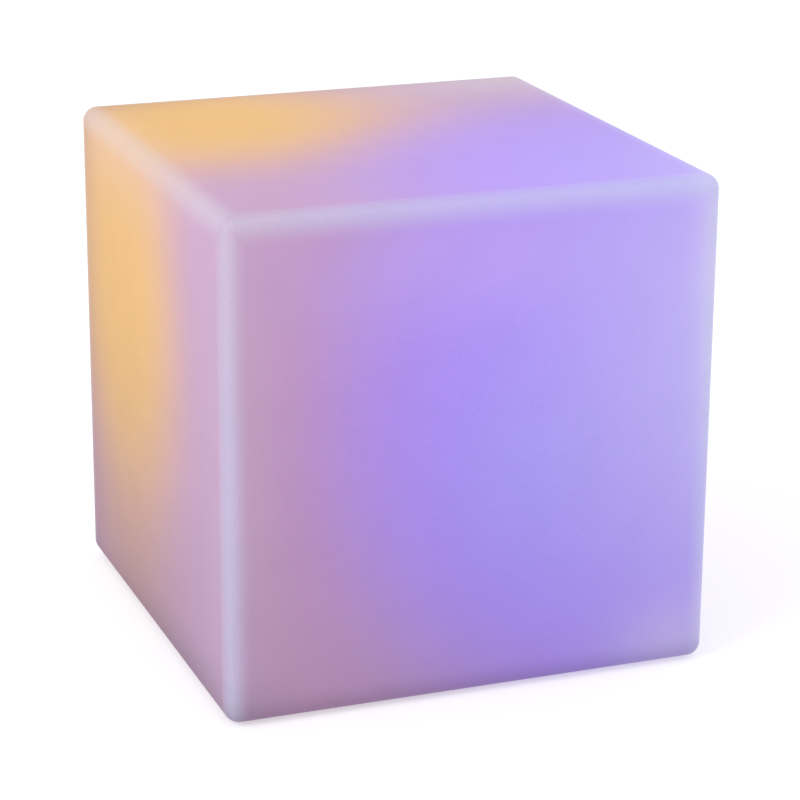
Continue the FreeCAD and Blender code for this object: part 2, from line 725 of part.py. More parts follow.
def make_board_parts():
    """What sits on top of the board, clear of its screws and of the wires' ends."""
    for label in ("controller_chip", "power_inductor", "radio_module", "battery_connector", "led_connector"):
        board_piece(label, BOARD_TOP)
    transistors = new_body("driver_transistors")
    corner = ("dims.driver_transistors_across", "dims.driver_transistors_along", BOARD_TOP)
    one = brick(transistors, "transistor", corner, sides_of("driver_transistors"))
    make_row("transistor", one, transistors, "dims.transistor_pitch", "dims.transistor_count")
    capacitors = new_body("capacitors")
    can = drum(capacitors, "capacitor", "dims.capacitor_radius", BOARD_TOP, "dims.capacitor_height",
               "dims.capacitor_across", "dims.capacitor_along")
    make_row("capacitor", can, capacitors, "dims.capacitor_pitch", "dims.capacitor_count")


# ---------------------------------------------------------------- cells

def make_cell_body(label, radius, length, cut_from=None):
    """Two lying cylinders side by side along X, as a body of their own or cut out of one."""
    body = cut_from or new_body(label)
    kind = "PartDesign::SubtractiveCylinder" if cut_from else "PartDesign::AdditiveCylinder"
    for index, side in enumerate(("-", "+")):
        cell = body.newObject(kind, f"{label}_{index}")
        cell.Placement.Rotation = FreeCAD.Rotation(FreeCAD.Vector(0, 1, 0), 90)
        bind(cell, Radius=radius, Height=length)
        place(cell, f"-({length}) / 2", f"dims.cells_along {side} dims.cell_pitch / 2", CELL_AXIS)
    return body


def make_cells():
    make_cell_body("battery_cells", "dims.cell_radius", "dims.cell_length")

    cradle = new_body("battery_cradle")
    front = "dims.cells_along - dims.cradle_depth / 2"
    height = "(dims.cradle_base + dims.cell_radius)"
    brick(cradle, "cradle_block", ("-dims.cradle_length / 2", front, FLOOR),
          ("dims.cradle_length", "dims.cradle_depth", height))
    make_cell_body("trough", "dims.cradle_trough_radius", "dims.cradle_cavity_length", cut_from=cradle)

    strips = new_body("cell_strips")
    strip_sides = ("dims.strip_thickness", "dims.cell_pitch + 2 * dims.strip_overhang", "dims.strip_width")
    strip_along = "dims.cells_along - dims.cell_pitch / 2 - dims.strip_overhang"
    for index, across in enumerate(("-dims.cell_length / 2 - dims.strip_thickness", "dims.cell_length / 2")):
        brick(strips, f"strip_{index}", (across, strip_along, CELL_AXIS), strip_sides)

    clamp = new_body("battery_clamp")
    leg_out = "dims.cradle_depth / 2 + dims.clamp_thickness"
    top = f"({CELL_AXIS} + dims.cell_radius + dims.clamp_gap + dims.clamp_thickness)"
    brick(clamp, "bridge", ("-dims.clamp_width / 2", f"dims.cells_along - ({leg_out})", FLOOR),
          ("dims.clamp_width", f"2 * ({leg_out})", f"{top} - {FLOOR}"))
    brick(clamp, "under_bridge", ("-dims.clamp_width / 2", front, FLOOR),
          ("dims.clamp_width", "dims.cradle_depth", f"{top} - {FLOOR} - dims.clamp_thickness"), cut=True)


# ---------------------------------------------------------------- plate, lamps and dome

def make_disc(label, radius, bottom, thickness):
    """Disc with a hole in the middle for the lamps' wires."""
    return turned(label, ring_corners("dims.lead_hole_radius", radius, bottom, f"{bottom} + {thickness}"))


def add_lens_holes(body, bottom, thickness):
    hole = drum(body, f"{body.Label}_hole", "dims.lens_screw_hole_radius", bottom, thickness,
                "dims.lens_screw_circle_radius", cut=True)
    polar(body, f"{body.Label}_holes", [hole], "dims.lens_screw_count")


def make_light_engine():
    plate = make_disc("heat_plate", "dims.cup_radius", RIM, "dims.plate_thickness")
    add_lens_holes(plate, RIM, "dims.plate_thickness")
    make_disc("thermal_pad", "dims.led_board_radius", PLATE_TOP, "dims.pad_thickness")
    make_disc("led_board", "dims.led_board_radius", PAD_TOP, "dims.led_board_thickness")
    for label in ("colour", "white"):
        side = f"dims.{label}_lamp_side"
        body = new_body("rgb_leds" if label == "colour" else "white_leds")
        corner = (f"dims.{label}_lamp_circle_radius - {side} / 2", f"-{side} / 2", LED_BOARD_TOP)
        lamp = brick(body, f"{label}_lamp", corner, (side, side, f"dims.{label}_lamp_height"))
        polar(body, f"{label}_lamps", [lamp], f"dims.{label}_lamp_count")


def make_lens():
    """Shallow dome with a flange, the flat seal under it, and the ring that six screws pull down."""
    seal = turned("lens_seal", ring_corners("dims.lens_seal_inner_radius", "dims.dome_flange_radius",
                                            PLATE_TOP, DOME_FOOT))
    add_lens_holes(seal, PLATE_TOP, "dims.lens_seal_thickness")

    foot = size("dome_foot_radius")
    rise = size("dome_rise")
    ball_radius = (foot ** 2 + rise ** 2) / (2 * rise)
    ball = "((dims.dome_foot_radius ^ 2 + dims.dome_rise ^ 2) / (2 * dims.dome_rise))"
    ball_centre = f"{DOME_FOOT} + dims.dome_rise - {ball}"
    dome = new_body("lens_dome")
    revolve(dome, "dome_flange", ring_corners("dims.lens_seal_inner_radius", "dims.dome_flange_radius",
                                              DOME_FOOT, DOME_FLANGE_TOP))
    # the ball is closed below by the level of the dome's foot
    lowest = math.degrees(math.asin((rise - ball_radius) / -ball_radius))
    outside = dome.newObject("PartDesign::AdditiveSphere", "dome_outside")
    bind(place(outside, level=ball_centre), Radius=ball)
    outside.Angle1 = lowest
    inside = dome.newObject("PartDesign::SubtractiveSphere", "dome_inside")
    bind(place(inside, level=ball_centre), Radius=f"{ball} - dims.dome_wall")
    add_lens_holes(dome, DOME_FOOT, "dims.dome_flange_thickness")

    ring = turned("lens_ring", ring_corners("dims.lens_ring_inner_radius", "dims.cup_radius",
                                            DOME_FLANGE_TOP, LENS_RING_TOP))
    add_lens_holes(ring, DOME_FLANGE_TOP, "dims.lens_ring_thickness")
    screws = new_body("lens_screws")
    parts = screw(screws, "lens_screw", "dims.lens_screw_circle_radius", LENS_RING_TOP, 1,
                  "dims.lens_screw_radius", "dims.lens_screw_length",
                  "dims.lens_screw_head_radius", "dims.lens_screw_head_height")
    polar(screws, "six_lens_screws", parts, "dims.lens_screw_count")


# ---------------------------------------------------------------- wires

def wire_tube(points, radius, bend):
    """Round tube along straight runs joined by tangent arcs of the given radius."""
    corners = [FreeCAD.Vector(*point) for point in points]
    edges = []
    start = corners[0]
    for before, corner, after in zip(corners, corners[1:], corners[2:]):
        back = (before - corner).normalize()
        onward = (after - corner).normalize()
        half_angle = back.getAngle(onward) / 2
        setback = bend / math.tan(half_angle)
        entry = corner + back * setback
        leave = corner + onward * setback
        to_centre = (back + onward).normalize()
        middle = corner + to_centre * (bend / math.sin(half_angle) - bend)
        edges.append(Part.LineSegment(start, entry).toShape())
        edges.append(Part.Arc(entry, middle, leave).toShape())
        start = leave
    edges.append(Part.LineSegment(start, corners[-1]).toShape())
    path = Part.Wire(edges)
    first_run = corners[1] - corners[0]
    rim = Part.Wire([Part.makeCircle(radius, corners[0], first_run)])
    return path.makePipeShell([rim], True, False)


def make_leads(label, routes, radius):
    leads = doc.addObject("Part::Feature", label)
    leads.Label = label
    tubes = [wire_tube(route, radius, size("lead_bend")) for route in routes]
    leads.Shape = Part.makeCompound(tubes)
    leads.Placement = FreeCAD.Placement()


def make_battery_leads(floor, board_top):
    """Two wires from the cells' strips, over the cells, down into their connector on the board."""
    end = size("cell_length") / 2 + size("strip_thickness")
    axis = floor + size("cradle_base") + size("cell_radius")
    strip = axis + size("strip_width") / 2
    beside = end + size("lead_side_room")
    over = axis + size("cell_radius") + size("lead_side_room")
    plug = board_top + size("battery_connector_height")
    above_plug = plug + size("lead_rise")
    row = size("battery_connector_along") + size("battery_connector_width") / 2
    first = size("battery_connector_across") + size("battery_pin_inset")
    second = first + size("battery_pin_pitch")
    near_lead = [(-end, 12, strip), (-beside, 12, strip), (-beside + 1, 0, strip + 8),
                 (-25, -5, above_plug + 1), (first, row, above_plug), (first, row, plug)]
    far_lead = [(end, 12, strip), (beside, 12, strip), (beside - 2, 22, over), (0, 25, over),
                (-19, 15, over), (-20, -1, above_plug + 1), (second, row, above_plug), (second, row, plug)]
    make_leads("battery_leads", [near_lead, far_lead], size("battery_lead_radius"))


def make_lamp_leads(floor, board_top):
    """Five wires from the connector on the board, through the plate's hole, up to the lamps' board."""
    rim = floor - size("flange_thickness") + size("cup_height")
    lamps = rim + size("plate_thickness") + size("pad_thickness") + size("led_board_thickness")
    plug = board_top + size("led_connector_height")
    across = size("led_connector_across") + size("led_connector_length") / 2
    along = size("led_connector_along") + size("led_connector_width") / 2
    routes = []
    for from_middle in range(-2, 3):
        pin = (across, along + from_middle * size("pin_pitch"))
        hole = (0, from_middle * size("lead_hole_pitch"))
        routes.append([(*pin, plug), (*pin, plug + size("lead_rise")),
                       (*hole, rim - size("lead_hole_room")), (*hole, lamps)])
    make_leads("led_leads", routes, size("led_lead_radius"))


def make_all_leads():
    floor = size("foot_height") + size("recess_depth") - size("gasket_thickness")
    board_top = floor + size("board_standoff") + size("board_thickness")
    make_battery_leads(floor, board_top)
    make_lamp_leads(floor, board_top)


# ---------------------------------------------------------------- build, test and write

for make in (make_shell, make_feet, make_shell_inserts, make_flange_gasket, make_flange_screws,
             make_module_housing, make_power_button, make_button_seal, make_switch, make_charge_socket,
             make_port_plug, make_plug_anchor, make_status_light, make_control_board, make_board_screws,
             make_board_parts, make_cells, make_light_engine, make_lens, make_all_leads):
    make()
doc.recompute()

broken = [item.Name for item in doc.Objects if {"Invalid", "Error"} & set(item.State)]
assert not broken, f"failed objects: {broken}"

pieces = [item for item in doc.RootObjects if item.isDerivedFrom("Part::Feature")]
os.makedirs("parts", exist_ok=True)
for piece in pieces:
    shape = piece.Shape
    assert not shape.isNull() and shape.isValid() and shape.Solids, f"bad shape: {piece.Label}"
    print(f"{piece.Label:22s} solids {len(shape.Solids):2d}  volume {shape.Volume / 1000:9.3f} cm3")
for piece in pieces:
    piece.Shape.exportStep(f"parts/{piece.Label}.step")
print(len(pieces), "pieces")
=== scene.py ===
"""The glowing garden cube: its skin, the pieces under its base, every finish, and a plain studio.

Metres, +Z up, the front face looks along -Y. The skin, the feet, the flange's screws, the button,
the plug with its tether and the charge window are worked out here on grids. Every other piece
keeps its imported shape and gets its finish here.
"""
import json
import math

import bpy
import numpy as np
from mathutils import Matrix, Vector


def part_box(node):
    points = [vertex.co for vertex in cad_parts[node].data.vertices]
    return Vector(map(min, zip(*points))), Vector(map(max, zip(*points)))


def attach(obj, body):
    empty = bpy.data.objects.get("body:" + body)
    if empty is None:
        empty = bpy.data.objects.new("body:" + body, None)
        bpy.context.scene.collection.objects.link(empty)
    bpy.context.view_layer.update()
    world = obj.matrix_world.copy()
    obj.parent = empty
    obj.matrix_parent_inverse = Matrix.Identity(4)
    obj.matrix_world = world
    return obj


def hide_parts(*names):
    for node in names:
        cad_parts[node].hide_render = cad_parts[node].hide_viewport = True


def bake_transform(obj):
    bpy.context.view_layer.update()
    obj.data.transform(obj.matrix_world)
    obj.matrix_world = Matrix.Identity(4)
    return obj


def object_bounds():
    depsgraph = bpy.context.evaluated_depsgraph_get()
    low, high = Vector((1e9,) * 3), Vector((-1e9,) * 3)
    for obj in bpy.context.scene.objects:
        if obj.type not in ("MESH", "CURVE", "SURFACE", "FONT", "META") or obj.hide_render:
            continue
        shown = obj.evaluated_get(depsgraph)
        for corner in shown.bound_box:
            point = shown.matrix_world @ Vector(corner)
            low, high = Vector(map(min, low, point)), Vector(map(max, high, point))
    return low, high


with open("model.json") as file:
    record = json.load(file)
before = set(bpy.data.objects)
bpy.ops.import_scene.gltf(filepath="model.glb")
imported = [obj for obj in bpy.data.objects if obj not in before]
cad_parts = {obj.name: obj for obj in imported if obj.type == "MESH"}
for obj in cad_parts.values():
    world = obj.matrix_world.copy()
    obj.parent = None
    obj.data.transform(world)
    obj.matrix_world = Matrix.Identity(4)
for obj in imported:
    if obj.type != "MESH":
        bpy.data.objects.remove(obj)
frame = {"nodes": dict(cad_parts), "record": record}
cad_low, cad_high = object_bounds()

MM = 0.001
CUBE_BODY = "cube"
BUTTON_BODY = "power_button"
PLUG_BODY = "port_plug"

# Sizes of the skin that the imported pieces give
feet_low, feet_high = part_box("feet")
SIDE = cad_high.z - cad_low.z
HALF = SIDE / 2
SKIN_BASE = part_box("shell")[0].z
FOOT_SEAT_RADIUS = 13 * MM
FOOT_PAD_RADIUS = 12.9 * MM
FOOT_SPOT = feet_high.x - FOOT_PAD_RADIUS
FOOT_SEAT_TOP = feet_high.z

# Sizes that the skin shares with the moulded shell
EDGE_RADIUS = 12 * MM
WALL = 3.5 * MM
RECESS_RADIUS = 76 * MM
RECESS_MOUTH = 3 * MM
RECESS_DEPTH = 16 * MM
LANDING = SKIN_BASE + RECESS_DEPTH
OPENING_RADIUS = 59 * MM
SCREW_CIRCLE = 68 * MM
SCREW_COUNT = 6
SCREW_HOLE = 3.2 * MM
BOSS_RADIUS = 6 * MM
BOSS_HEIGHT = 11 * MM
BOSS_CAP = 1 * MM
FACE_DISH = 0.5 * MM

# Levels and places of what shows in the recess
GASKET_THICKNESS = 1.5 * MM
FLANGE_THICKNESS = 3 * MM
FLANGE_BACK = LANDING - GASKET_THICKNESS
FLANGE_FACE = FLANGE_BACK - FLANGE_THICKNESS
screw_low, screw_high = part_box("flange_screws")
button_low, button_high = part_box("power_button")
plug_low, plug_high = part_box("port_plug")
anchor_low, anchor_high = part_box("plug_anchor")
lens_low, lens_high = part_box("status_lens")


# ---------------- meshes from grids

ROUND_STEPS = 7
SHARP_EDGE = 35


class Skin:
    """Collects patches of points and quads, and makes one mesh with their seams merged."""

    def __init__(self):
        self.points = []
        self.quads = []
        self.count = 0

    def add(self, grid, flip=False):
        """A patch from a (rows, columns, 3) array of points; flip turns its faces over."""
        rows, columns = grid.shape[:2]
        index = np.arange(rows * columns).reshape(rows, columns) + self.count
        corners = (index[:-1, :-1], index[:-1, 1:], index[1:, 1:], index[1:, :-1])
        quads = np.stack([corner.ravel() for corner in corners], axis=1)
        self.points.append(grid.reshape(-1, 3))
        self.quads.append(quads[:, ::-1] if flip else quads)
        self.count += rows * columns

    def mesh(self, name, merge=1e-6):
        """The patches as one mesh: points that fall in the same cell become one, so seams close,
        a quad with two corners in one becomes a triangle, and a quad with fewer corners goes.
        """
        points = np.concatenate(self.points)
        quads = np.concatenate(self.quads)
        cells = np.round(points / merge).astype(np.int64)
        _, first, where = np.unique(cells, axis=0, return_index=True, return_inverse=True)
        rings = where.reshape(-1)[quads]
        kept = rings != np.roll(rings, 1, axis=1)
        kept &= (kept.sum(axis=1) > 2)[:, None]
        sides = kept.sum(axis=1)
        sides = sides[sides > 0]
        mesh = bpy.data.meshes.new(name)
        mesh.vertices.add(len(first))
        mesh.vertices.foreach_set("co", points[first].ravel())
        mesh.loops.add(int(sides.sum()))
        mesh.loops.foreach_set("vertex_index", rings[kept])
        mesh.polygons.add(len(sides))
        mesh.polygons.foreach_set("loop_start", np.concatenate([[0], np.cumsum(sides)[:-1]]))
        mesh.polygons.foreach_set("use_smooth", np.ones(len(sides), bool))
        mesh.update(calc_edges=True)
        mesh.validate()
        return mesh


def placed(name, data):
    """A new object in the scene."""
    thing = bpy.data.objects.new(name, data)
    bpy.context.scene.collection.objects.link(thing)
    return thing


def finished(skin, name, material, node=None, body=CUBE_BODY, sharp=SHARP_EDGE):
    """One piece from its patches, at the origin, with its finish and the body that it rides on.

    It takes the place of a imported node, where one is named. Edges sharper than the angle stay so.
    """
    mesh = skin.mesh(name)
    mesh.set_sharp_from_angle(angle=math.radians(sharp))
    mesh.materials.append(material)
    thing = placed(name, mesh)
    if body:
        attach(thing, body)
    if node:
        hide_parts(node)
    return thing


def merge_lines(*pieces_of_line):
    """Joins stretches of a number line, each starting where the last one ends."""
    return np.concatenate([pieces_of_line[0]] + [stretch[1:] for stretch in pieces_of_line[1:]])


def grid_lines(half, breaks, steps):
    """Grid lines across one side of a rounded box, from -half to half.

    The flat part runs between the roundings with the given break lines and even steps between
    them. Each rounding takes r * tan(angle) for even angles from 0 to 45 degrees, so that the
    lines divide the rounding evenly once they are pushed out onto it.
    """
    flat = half - EDGE_RADIUS
    angles = np.linspace(0, math.pi / 4, ROUND_STEPS + 1)
    rounding = EDGE_RADIUS * np.tan(angles)
    stops = [-flat, *breaks, flat]
    middle = [np.linspace(a, b, n + 1) for a, b, n in zip(stops, stops[1:], steps)]
    return merge_lines(-(flat + rounding)[::-1], *middle, flat + rounding)


def on_rounded_box(points, halves):
    """Pushes points of a sharp box out onto the same box with rounded edges and corners.

    Each point goes to the core (the box less the edge radius), then out again by the edge
    radius along the line from the core point through the sharp point.
    """
    core = np.clip(points, -(halves - EDGE_RADIUS), halves - EDGE_RADIUS)
    outward = points - core
    return core + EDGE_RADIUS * outward / np.linalg.norm(outward, axis=-1, keepdims=True)


def box_side(axis, sign, first, second, halves):
    """Grid of points on one side of the rounded box, dished in a little towards its middle.

    The dish is the face dish times (1 - u^2)(1 - v^2), where u and v run from -1 to 1 across
    the flat part, and is nothing on the roundings.
    """
    others = [other for other in range(3) if other != axis]
    u, v = np.meshgrid(first, second, indexing="ij")
    sharp = np.zeros((*u.shape, 3))
    sharp[..., axis] = sign * halves[axis]
    sharp[..., others[0]] = u
    sharp[..., others[1]] = v
    grid = on_rounded_box(sharp, halves)
    flats = halves - EDGE_RADIUS
    across = np.clip(1 - (u / flats[others[0]]) ** 2, 0, 1)
    along = np.clip(1 - (v / flats[others[1]]) ** 2, 0, 1)
    grid[..., axis] -= sign * FACE_DISH * across * along
    return grid


def square_loop(xs, ys):
    """The border nodes of a panel, anticlockwise from its lowest corner, without a repeat."""
    bottom = [(x, ys[0]) for x in xs[:-1]]
    right = [(xs[-1], y) for y in ys[:-1]]
    top = [(x, ys[-1]) for x in xs[:0:-1]]
    left = [(xs[0], y) for y in ys[:0:-1]]
    return np.array(bottom + right + top + left)


def ring_between(outer, inner, rings):
    """Grid between two closed loops of as many nodes: each row is a straight mix of the two."""
    outer = np.vstack([outer, outer[:1]])
    inner = np.vstack([inner, inner[:1]])
    mix = np.linspace(0, 1, rings + 1)[:, None, None]
    return outer[None] * (1 - mix) + inner[None] * mix


def polar(radius, turns):
    """Points of a plane at a radius r and a turn t: (r cos t, r sin t)."""
    return np.stack([radius * np.cos(turns), radius * np.sin(turns)], axis=-1)


def circle_facing(loop, centre, radius):
    """For each node of a loop, the point of the circle that lies in the same direction."""
    away = loop - centre
    return centre + polar(radius, np.arctan2(away[:, 1], away[:, 0]))


def at_level(flat_points, level):
    """Points of a plan lifted to one level, or each to its own."""
    level = np.broadcast_to(level, flat_points.shape[:-1])
    return np.concatenate([flat_points, level[..., None]], axis=-1)


def revolved(profile, turns):
    """Grid of a (radius, level) profile carried round the upright axis at the given turns."""
    radius, level = np.asarray(profile, float).T[:, :, None]
    return at_level(polar(radius, turns), level)


def smooth(value):
    """0 up to 0, 1 from 1 on, and 3v^2 - 2v^3 between."""
    value = np.clip(value, 0, 1)
    return value * value * (3 - 2 * value)


def arc(centre, radius, start, end, steps=6):
    """Points of an arc in the (radius, level) plane between two angles in degrees."""
    return np.array(centre) + polar(radius, np.radians(np.linspace(start, end, steps + 1)))


def around(steps):
    """The turns of a full circle in even steps, with the first again at the end."""
    return np.linspace(0, 2 * math.pi, steps + 1)


def lathe(skin, profile, spot, steps):
    """Carries a profile, given in stretches, round the upright axis through a spot.

    It runs outwards where it is the lower side of the piece, and inwards where it is the upper.
    """
    skin.add(revolved(np.vstack(profile), around(steps)) + np.array([*spot, 0]))


def middle_of(low, high):
    """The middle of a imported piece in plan."""
    return (low.x + high.x) / 2, (low.y + high.y) / 2


def screw_spots():
    """The places of the flange's screws in plan."""
    return polar(SCREW_CIRCLE, around(SCREW_COUNT)[:-1])


# ---------------- the skin of the cube

BASE_BREAK = 110 * MM
PANEL_STEPS = (16, 24, 16)
UPRIGHT_STEPS = (40,)
RECESS_NODES = 4 * PANEL_STEPS[1]
TOLERANCE = 1e-9


def base_panels(skin, lines):
    """The flat of the base as nine panels: the recess's, four with foot seats and four plain."""
    flat = HALF - EDGE_RADIUS
    stops = (-flat, -BASE_BREAK, BASE_BREAK, flat)
    inside = [lines[(lines > low - TOLERANCE) & (lines < high + TOLERANCE)]
              for low, high in zip(stops, stops[1:])]
    for column, xs in enumerate(inside):
        for row, ys in enumerate(inside):
            if column != 1 and row != 1:
                foot_panel(skin, xs, ys, (column - 1, row - 1))
            elif (column, row) != (1, 1):
                x, y = np.meshgrid(xs, ys, indexing="ij")
                skin.add(at_level(np.stack([x, y], axis=-1), SKIN_BASE))
    loop = square_loop(inside[1], inside[1])
    # the border starts at the panel's lowest corner, which lies 135 degrees back from +X
    turns = around(RECESS_NODES) - math.radians(135)
    mouth = polar(RECESS_RADIUS + RECESS_MOUTH, turns[:-1])
    skin.add(at_level(ring_between(loop, mouth, rings=8), SKIN_BASE), flip=True)
    recess(skin, turns)


def foot_panel(skin, xs, ys, corner):
    """A corner panel with a round seat for a foot: panel, wall, and floor closed at its pole."""
    centre = np.array(corner) * FOOT_SPOT
    loop = square_loop(xs, ys)
    rim = circle_facing(loop, centre, FOOT_SEAT_RADIUS)
    pole = np.broadcast_to(centre, rim.shape)
    skin.add(at_level(ring_between(loop, rim, rings=5), SKIN_BASE), flip=True)
    wall = ring_between(at_level(rim, SKIN_BASE), at_level(rim, FOOT_SEAT_TOP), rings=2)
    skin.add(wall, flip=True)
    skin.add(at_level(ring_between(rim, pole, rings=3), FOOT_SEAT_TOP), flip=True)


def recess(skin, turns):
    """The recess's rounded mouth and wall, and its landing, one sector to a screw."""
    inner = SKIN_BASE + RECESS_MOUTH
    mouth = arc((RECESS_RADIUS + RECESS_MOUTH, inner), RECESS_MOUTH, -90, -180)
    wall = [(RECESS_RADIUS, level) for level in np.linspace(inner, LANDING, 5)[1:]]
    skin.add(revolved(np.vstack([mouth, wall]), turns), flip=True)
    per_sector = RECESS_NODES // SCREW_COUNT
    start = int(np.argmin(np.abs(turns + math.pi / 2)))
    for sector in range(SCREW_COUNT):
        nodes = (start + sector * per_sector + np.arange(per_sector + 1)) % RECESS_NODES
        landing_sector(skin, turns[nodes])


def landing_sector(skin, turns):
    """The landing's part between the recess wall and the opening, round one screw's hole."""
    between = np.linspace(RECESS_RADIUS, OPENING_RADIUS, 5)[1:-1]
    loop = np.vstack([polar(RECESS_RADIUS, turns), polar(between, turns[-1]),
                      polar(OPENING_RADIUS, turns[::-1]), polar(between[::-1], turns[0])])
    centre = polar(SCREW_CIRCLE, turns[len(turns) // 2])
    hole = circle_facing(loop, centre, SCREW_HOLE)
    skin.add(at_level(ring_between(loop, hole, rings=3), LANDING), flip=True)


def make_skin(material):
    """The moulded skin: five sides and the base's rim on rounded-box grids, and the base's panels.

    Its wall is given inwards by a modifier, as even as the moulding's.
    """
    halves = np.array([HALF, HALF, (cad_high.z - SKIN_BASE) / 2])
    middle = np.array([0, 0, (cad_high.z + SKIN_BASE) / 2])
    level_lines = grid_lines(HALF, (-BASE_BREAK, BASE_BREAK), PANEL_STEPS)
    upright_lines = grid_lines(halves[2], (), UPRIGHT_STEPS)
    skin = Skin()
    for axis, sign in ((0, -1), (0, 1), (1, -1), (1, 1), (2, 1)):
        second = level_lines if axis == 2 else upright_lines
        grid = box_side(axis, sign, level_lines, second, halves) + middle
        skin.add(grid, flip=(sign > 0) != (axis == 1))
    # the base's own half of the rounding: four strips round the flat
    rim = box_side(2, -1, level_lines, level_lines, halves) + middle
    near, far = slice(0, ROUND_STEPS + 1), slice(-ROUND_STEPS - 1, None)
    between, whole = slice(ROUND_STEPS, -ROUND_STEPS), slice(None)
    for rows, columns in ((near, whole), (far, whole), (between, near), (between, far)):
        skin.add(rim[rows, columns])
    base_panels(skin, level_lines)
    thing = finished(skin, "shell_skin", material, node="shell")
    wall = thing.modifiers.new("wall", "SOLIDIFY")
    wall.thickness = WALL
    wall.offset = -1
    wall.use_even_offset = True


def make_bosses(material):
    """Six blind tubes on the landing that hold the threaded inserts."""
    bottom, top = LANDING + WALL, LANDING + BOSS_HEIGHT
    profile = [(SCREW_HOLE, bottom), (BOSS_RADIUS, bottom), (BOSS_RADIUS, top), (0, top),
               (0, top - BOSS_CAP), (SCREW_HOLE, top - BOSS_CAP), (SCREW_HOLE, bottom)]
    skin = Skin()
    for spot in screw_spots():
        lathe(skin, [profile], spot, steps=24)
    finished(skin, "shell_bosses", material)


# ---------------- pieces under the base

FOOT_RIM = 0.9 * MM
FOOT_DISH = 0.5 * MM
FOOT_DISH_RADIUS = 4 * MM
FOOT_GROOVES = (6 * MM, 9.2 * MM)
FOOT_GROOVE_DEPTH = 0.6 * MM
FOOT_GROOVE_HALF = 0.55 * MM


def make_feet(material):
    """Four rubber pads: a tread dished in its middle, with two round grooves and a rounded rim.

    The tread's level is the dish times (1 - (r / dish radius)^2)^2 inside the dish, plus the
    groove's depth times exp(-((r - groove) / half width)^4) for each groove.
    """
    radius = np.linspace(0, FOOT_PAD_RADIUS - FOOT_RIM, 81)
    level = FOOT_DISH * np.clip(1 - (radius / FOOT_DISH_RADIUS) ** 2, 0, 1) ** 2
    for groove in FOOT_GROOVES:
        level += FOOT_GROOVE_DEPTH * np.exp(-((radius - groove) / FOOT_GROOVE_HALF) ** 4)
    tread = np.stack([radius, level + feet_low.z], axis=1)
    rim = arc((FOOT_PAD_RADIUS - FOOT_RIM, feet_low.z + FOOT_RIM), FOOT_RIM, -90, 0)
    back = [(FOOT_PAD_RADIUS, FOOT_SEAT_TOP), (0, FOOT_SEAT_TOP)]
    skin = Skin()
    for across in (-FOOT_SPOT, FOOT_SPOT):
        for along in (-FOOT_SPOT, FOOT_SPOT):
            lathe(skin, (tread, rim[1:], back), (across, along), steps=64)
    finished(skin, "foot_pads", material, node="feet")


HEAD_RADIUS = 4 * MM
HEAD_RIM = 0.7 * MM
HEAD_DOME = 0.35 * MM
CROSS_HALF_WIDTH = 0.5 * MM
CROSS_ARM = 2.3 * MM
CROSS_DEPTH = 1.2 * MM
CROSS_TAPER = 0.4
CROSS_SOFT = 0.22 * MM
SHANK_RADIUS = 1.9 * MM
THREAD_DEPTH = 0.3 * MM
THREAD_PITCH = 1.25 * MM
TIP_RADIUS = 1.14 * MM
# Each screw is turned by this much more than the one before
SCREW_TWIST = math.radians(37)


def cross_recess(x, y):
    """How deep the cross is, in shares: with u and v the smaller and larger of |x| and |y|, it is
    a smooth step of (half width - u) times one of (arm - v), shallower towards the arms' ends.
    """
    small, large = np.minimum(abs(x), abs(y)), np.maximum(abs(x), abs(y))
    in_arm = smooth((CROSS_HALF_WIDTH - small) / CROSS_SOFT + 0.5)
    in_reach = smooth((CROSS_ARM - large) / CROSS_SOFT + 0.5)
    return in_arm * in_reach * (1 - CROSS_TAPER * np.clip(large / CROSS_ARM, 0, 1))


def make_flange_screws(material):
    """Six pan-head screws: a domed face with a cross recess, a rounded rim, and a threaded shank.

    The face's level is dome * (r / radius)^2 plus the recess. The shank's radius at a turn t and a
    level z is less by depth * |2 frac(z / pitch - t / 2 pi) - 1|, which fades out at both ends.
    """
    turns = around(72)
    radius = np.linspace(0, HEAD_RADIUS - HEAD_RIM, 34)[:, None]
    x, y = radius * np.cos(turns), radius * np.sin(turns)
    dome = screw_low.z + HEAD_DOME * (radius / HEAD_RADIUS) ** 2
    face = np.stack([x, y, dome + CROSS_DEPTH * cross_recess(x, y)], axis=-1)
    rim = arc((HEAD_RADIUS - HEAD_RIM, dome[-1, 0] + HEAD_RIM), HEAD_RIM, -90, 0)
    back = [(HEAD_RADIUS, FLANGE_FACE), (SHANK_RADIUS, FLANGE_FACE)]
    tip, thread_end = screw_high.z, screw_high.z - THREAD_PITCH
    height = np.linspace(FLANGE_FACE, thread_end, 82)[:, None]
    phase = height / THREAD_PITCH - turns / (2 * math.pi)
    ridge = THREAD_DEPTH * abs(2 * (phase - np.floor(phase)) - 1)
    fade = smooth((height - FLANGE_FACE) / THREAD_PITCH)
    fade = fade * smooth((thread_end - height) / THREAD_PITCH)
    shank = at_level(polar(SHANK_RADIUS - ridge * fade, turns), height)
    point = [(SHANK_RADIUS, thread_end), (TIP_RADIUS, tip), (0, tip)]
    patches = (face, revolved(np.vstack([rim, back]), turns), shank, revolved(point, turns))
    skin = Skin()
    for number, spot in enumerate(screw_spots()):
        twist = np.array(Matrix.Rotation(SCREW_TWIST * number, 3, "Z"))
        for patch in patches:
            skin.add(patch @ twist.T + np.array([*spot, 0]))
    finished(skin, "flange_screw_set", material, node="flange_screws", sharp=50)


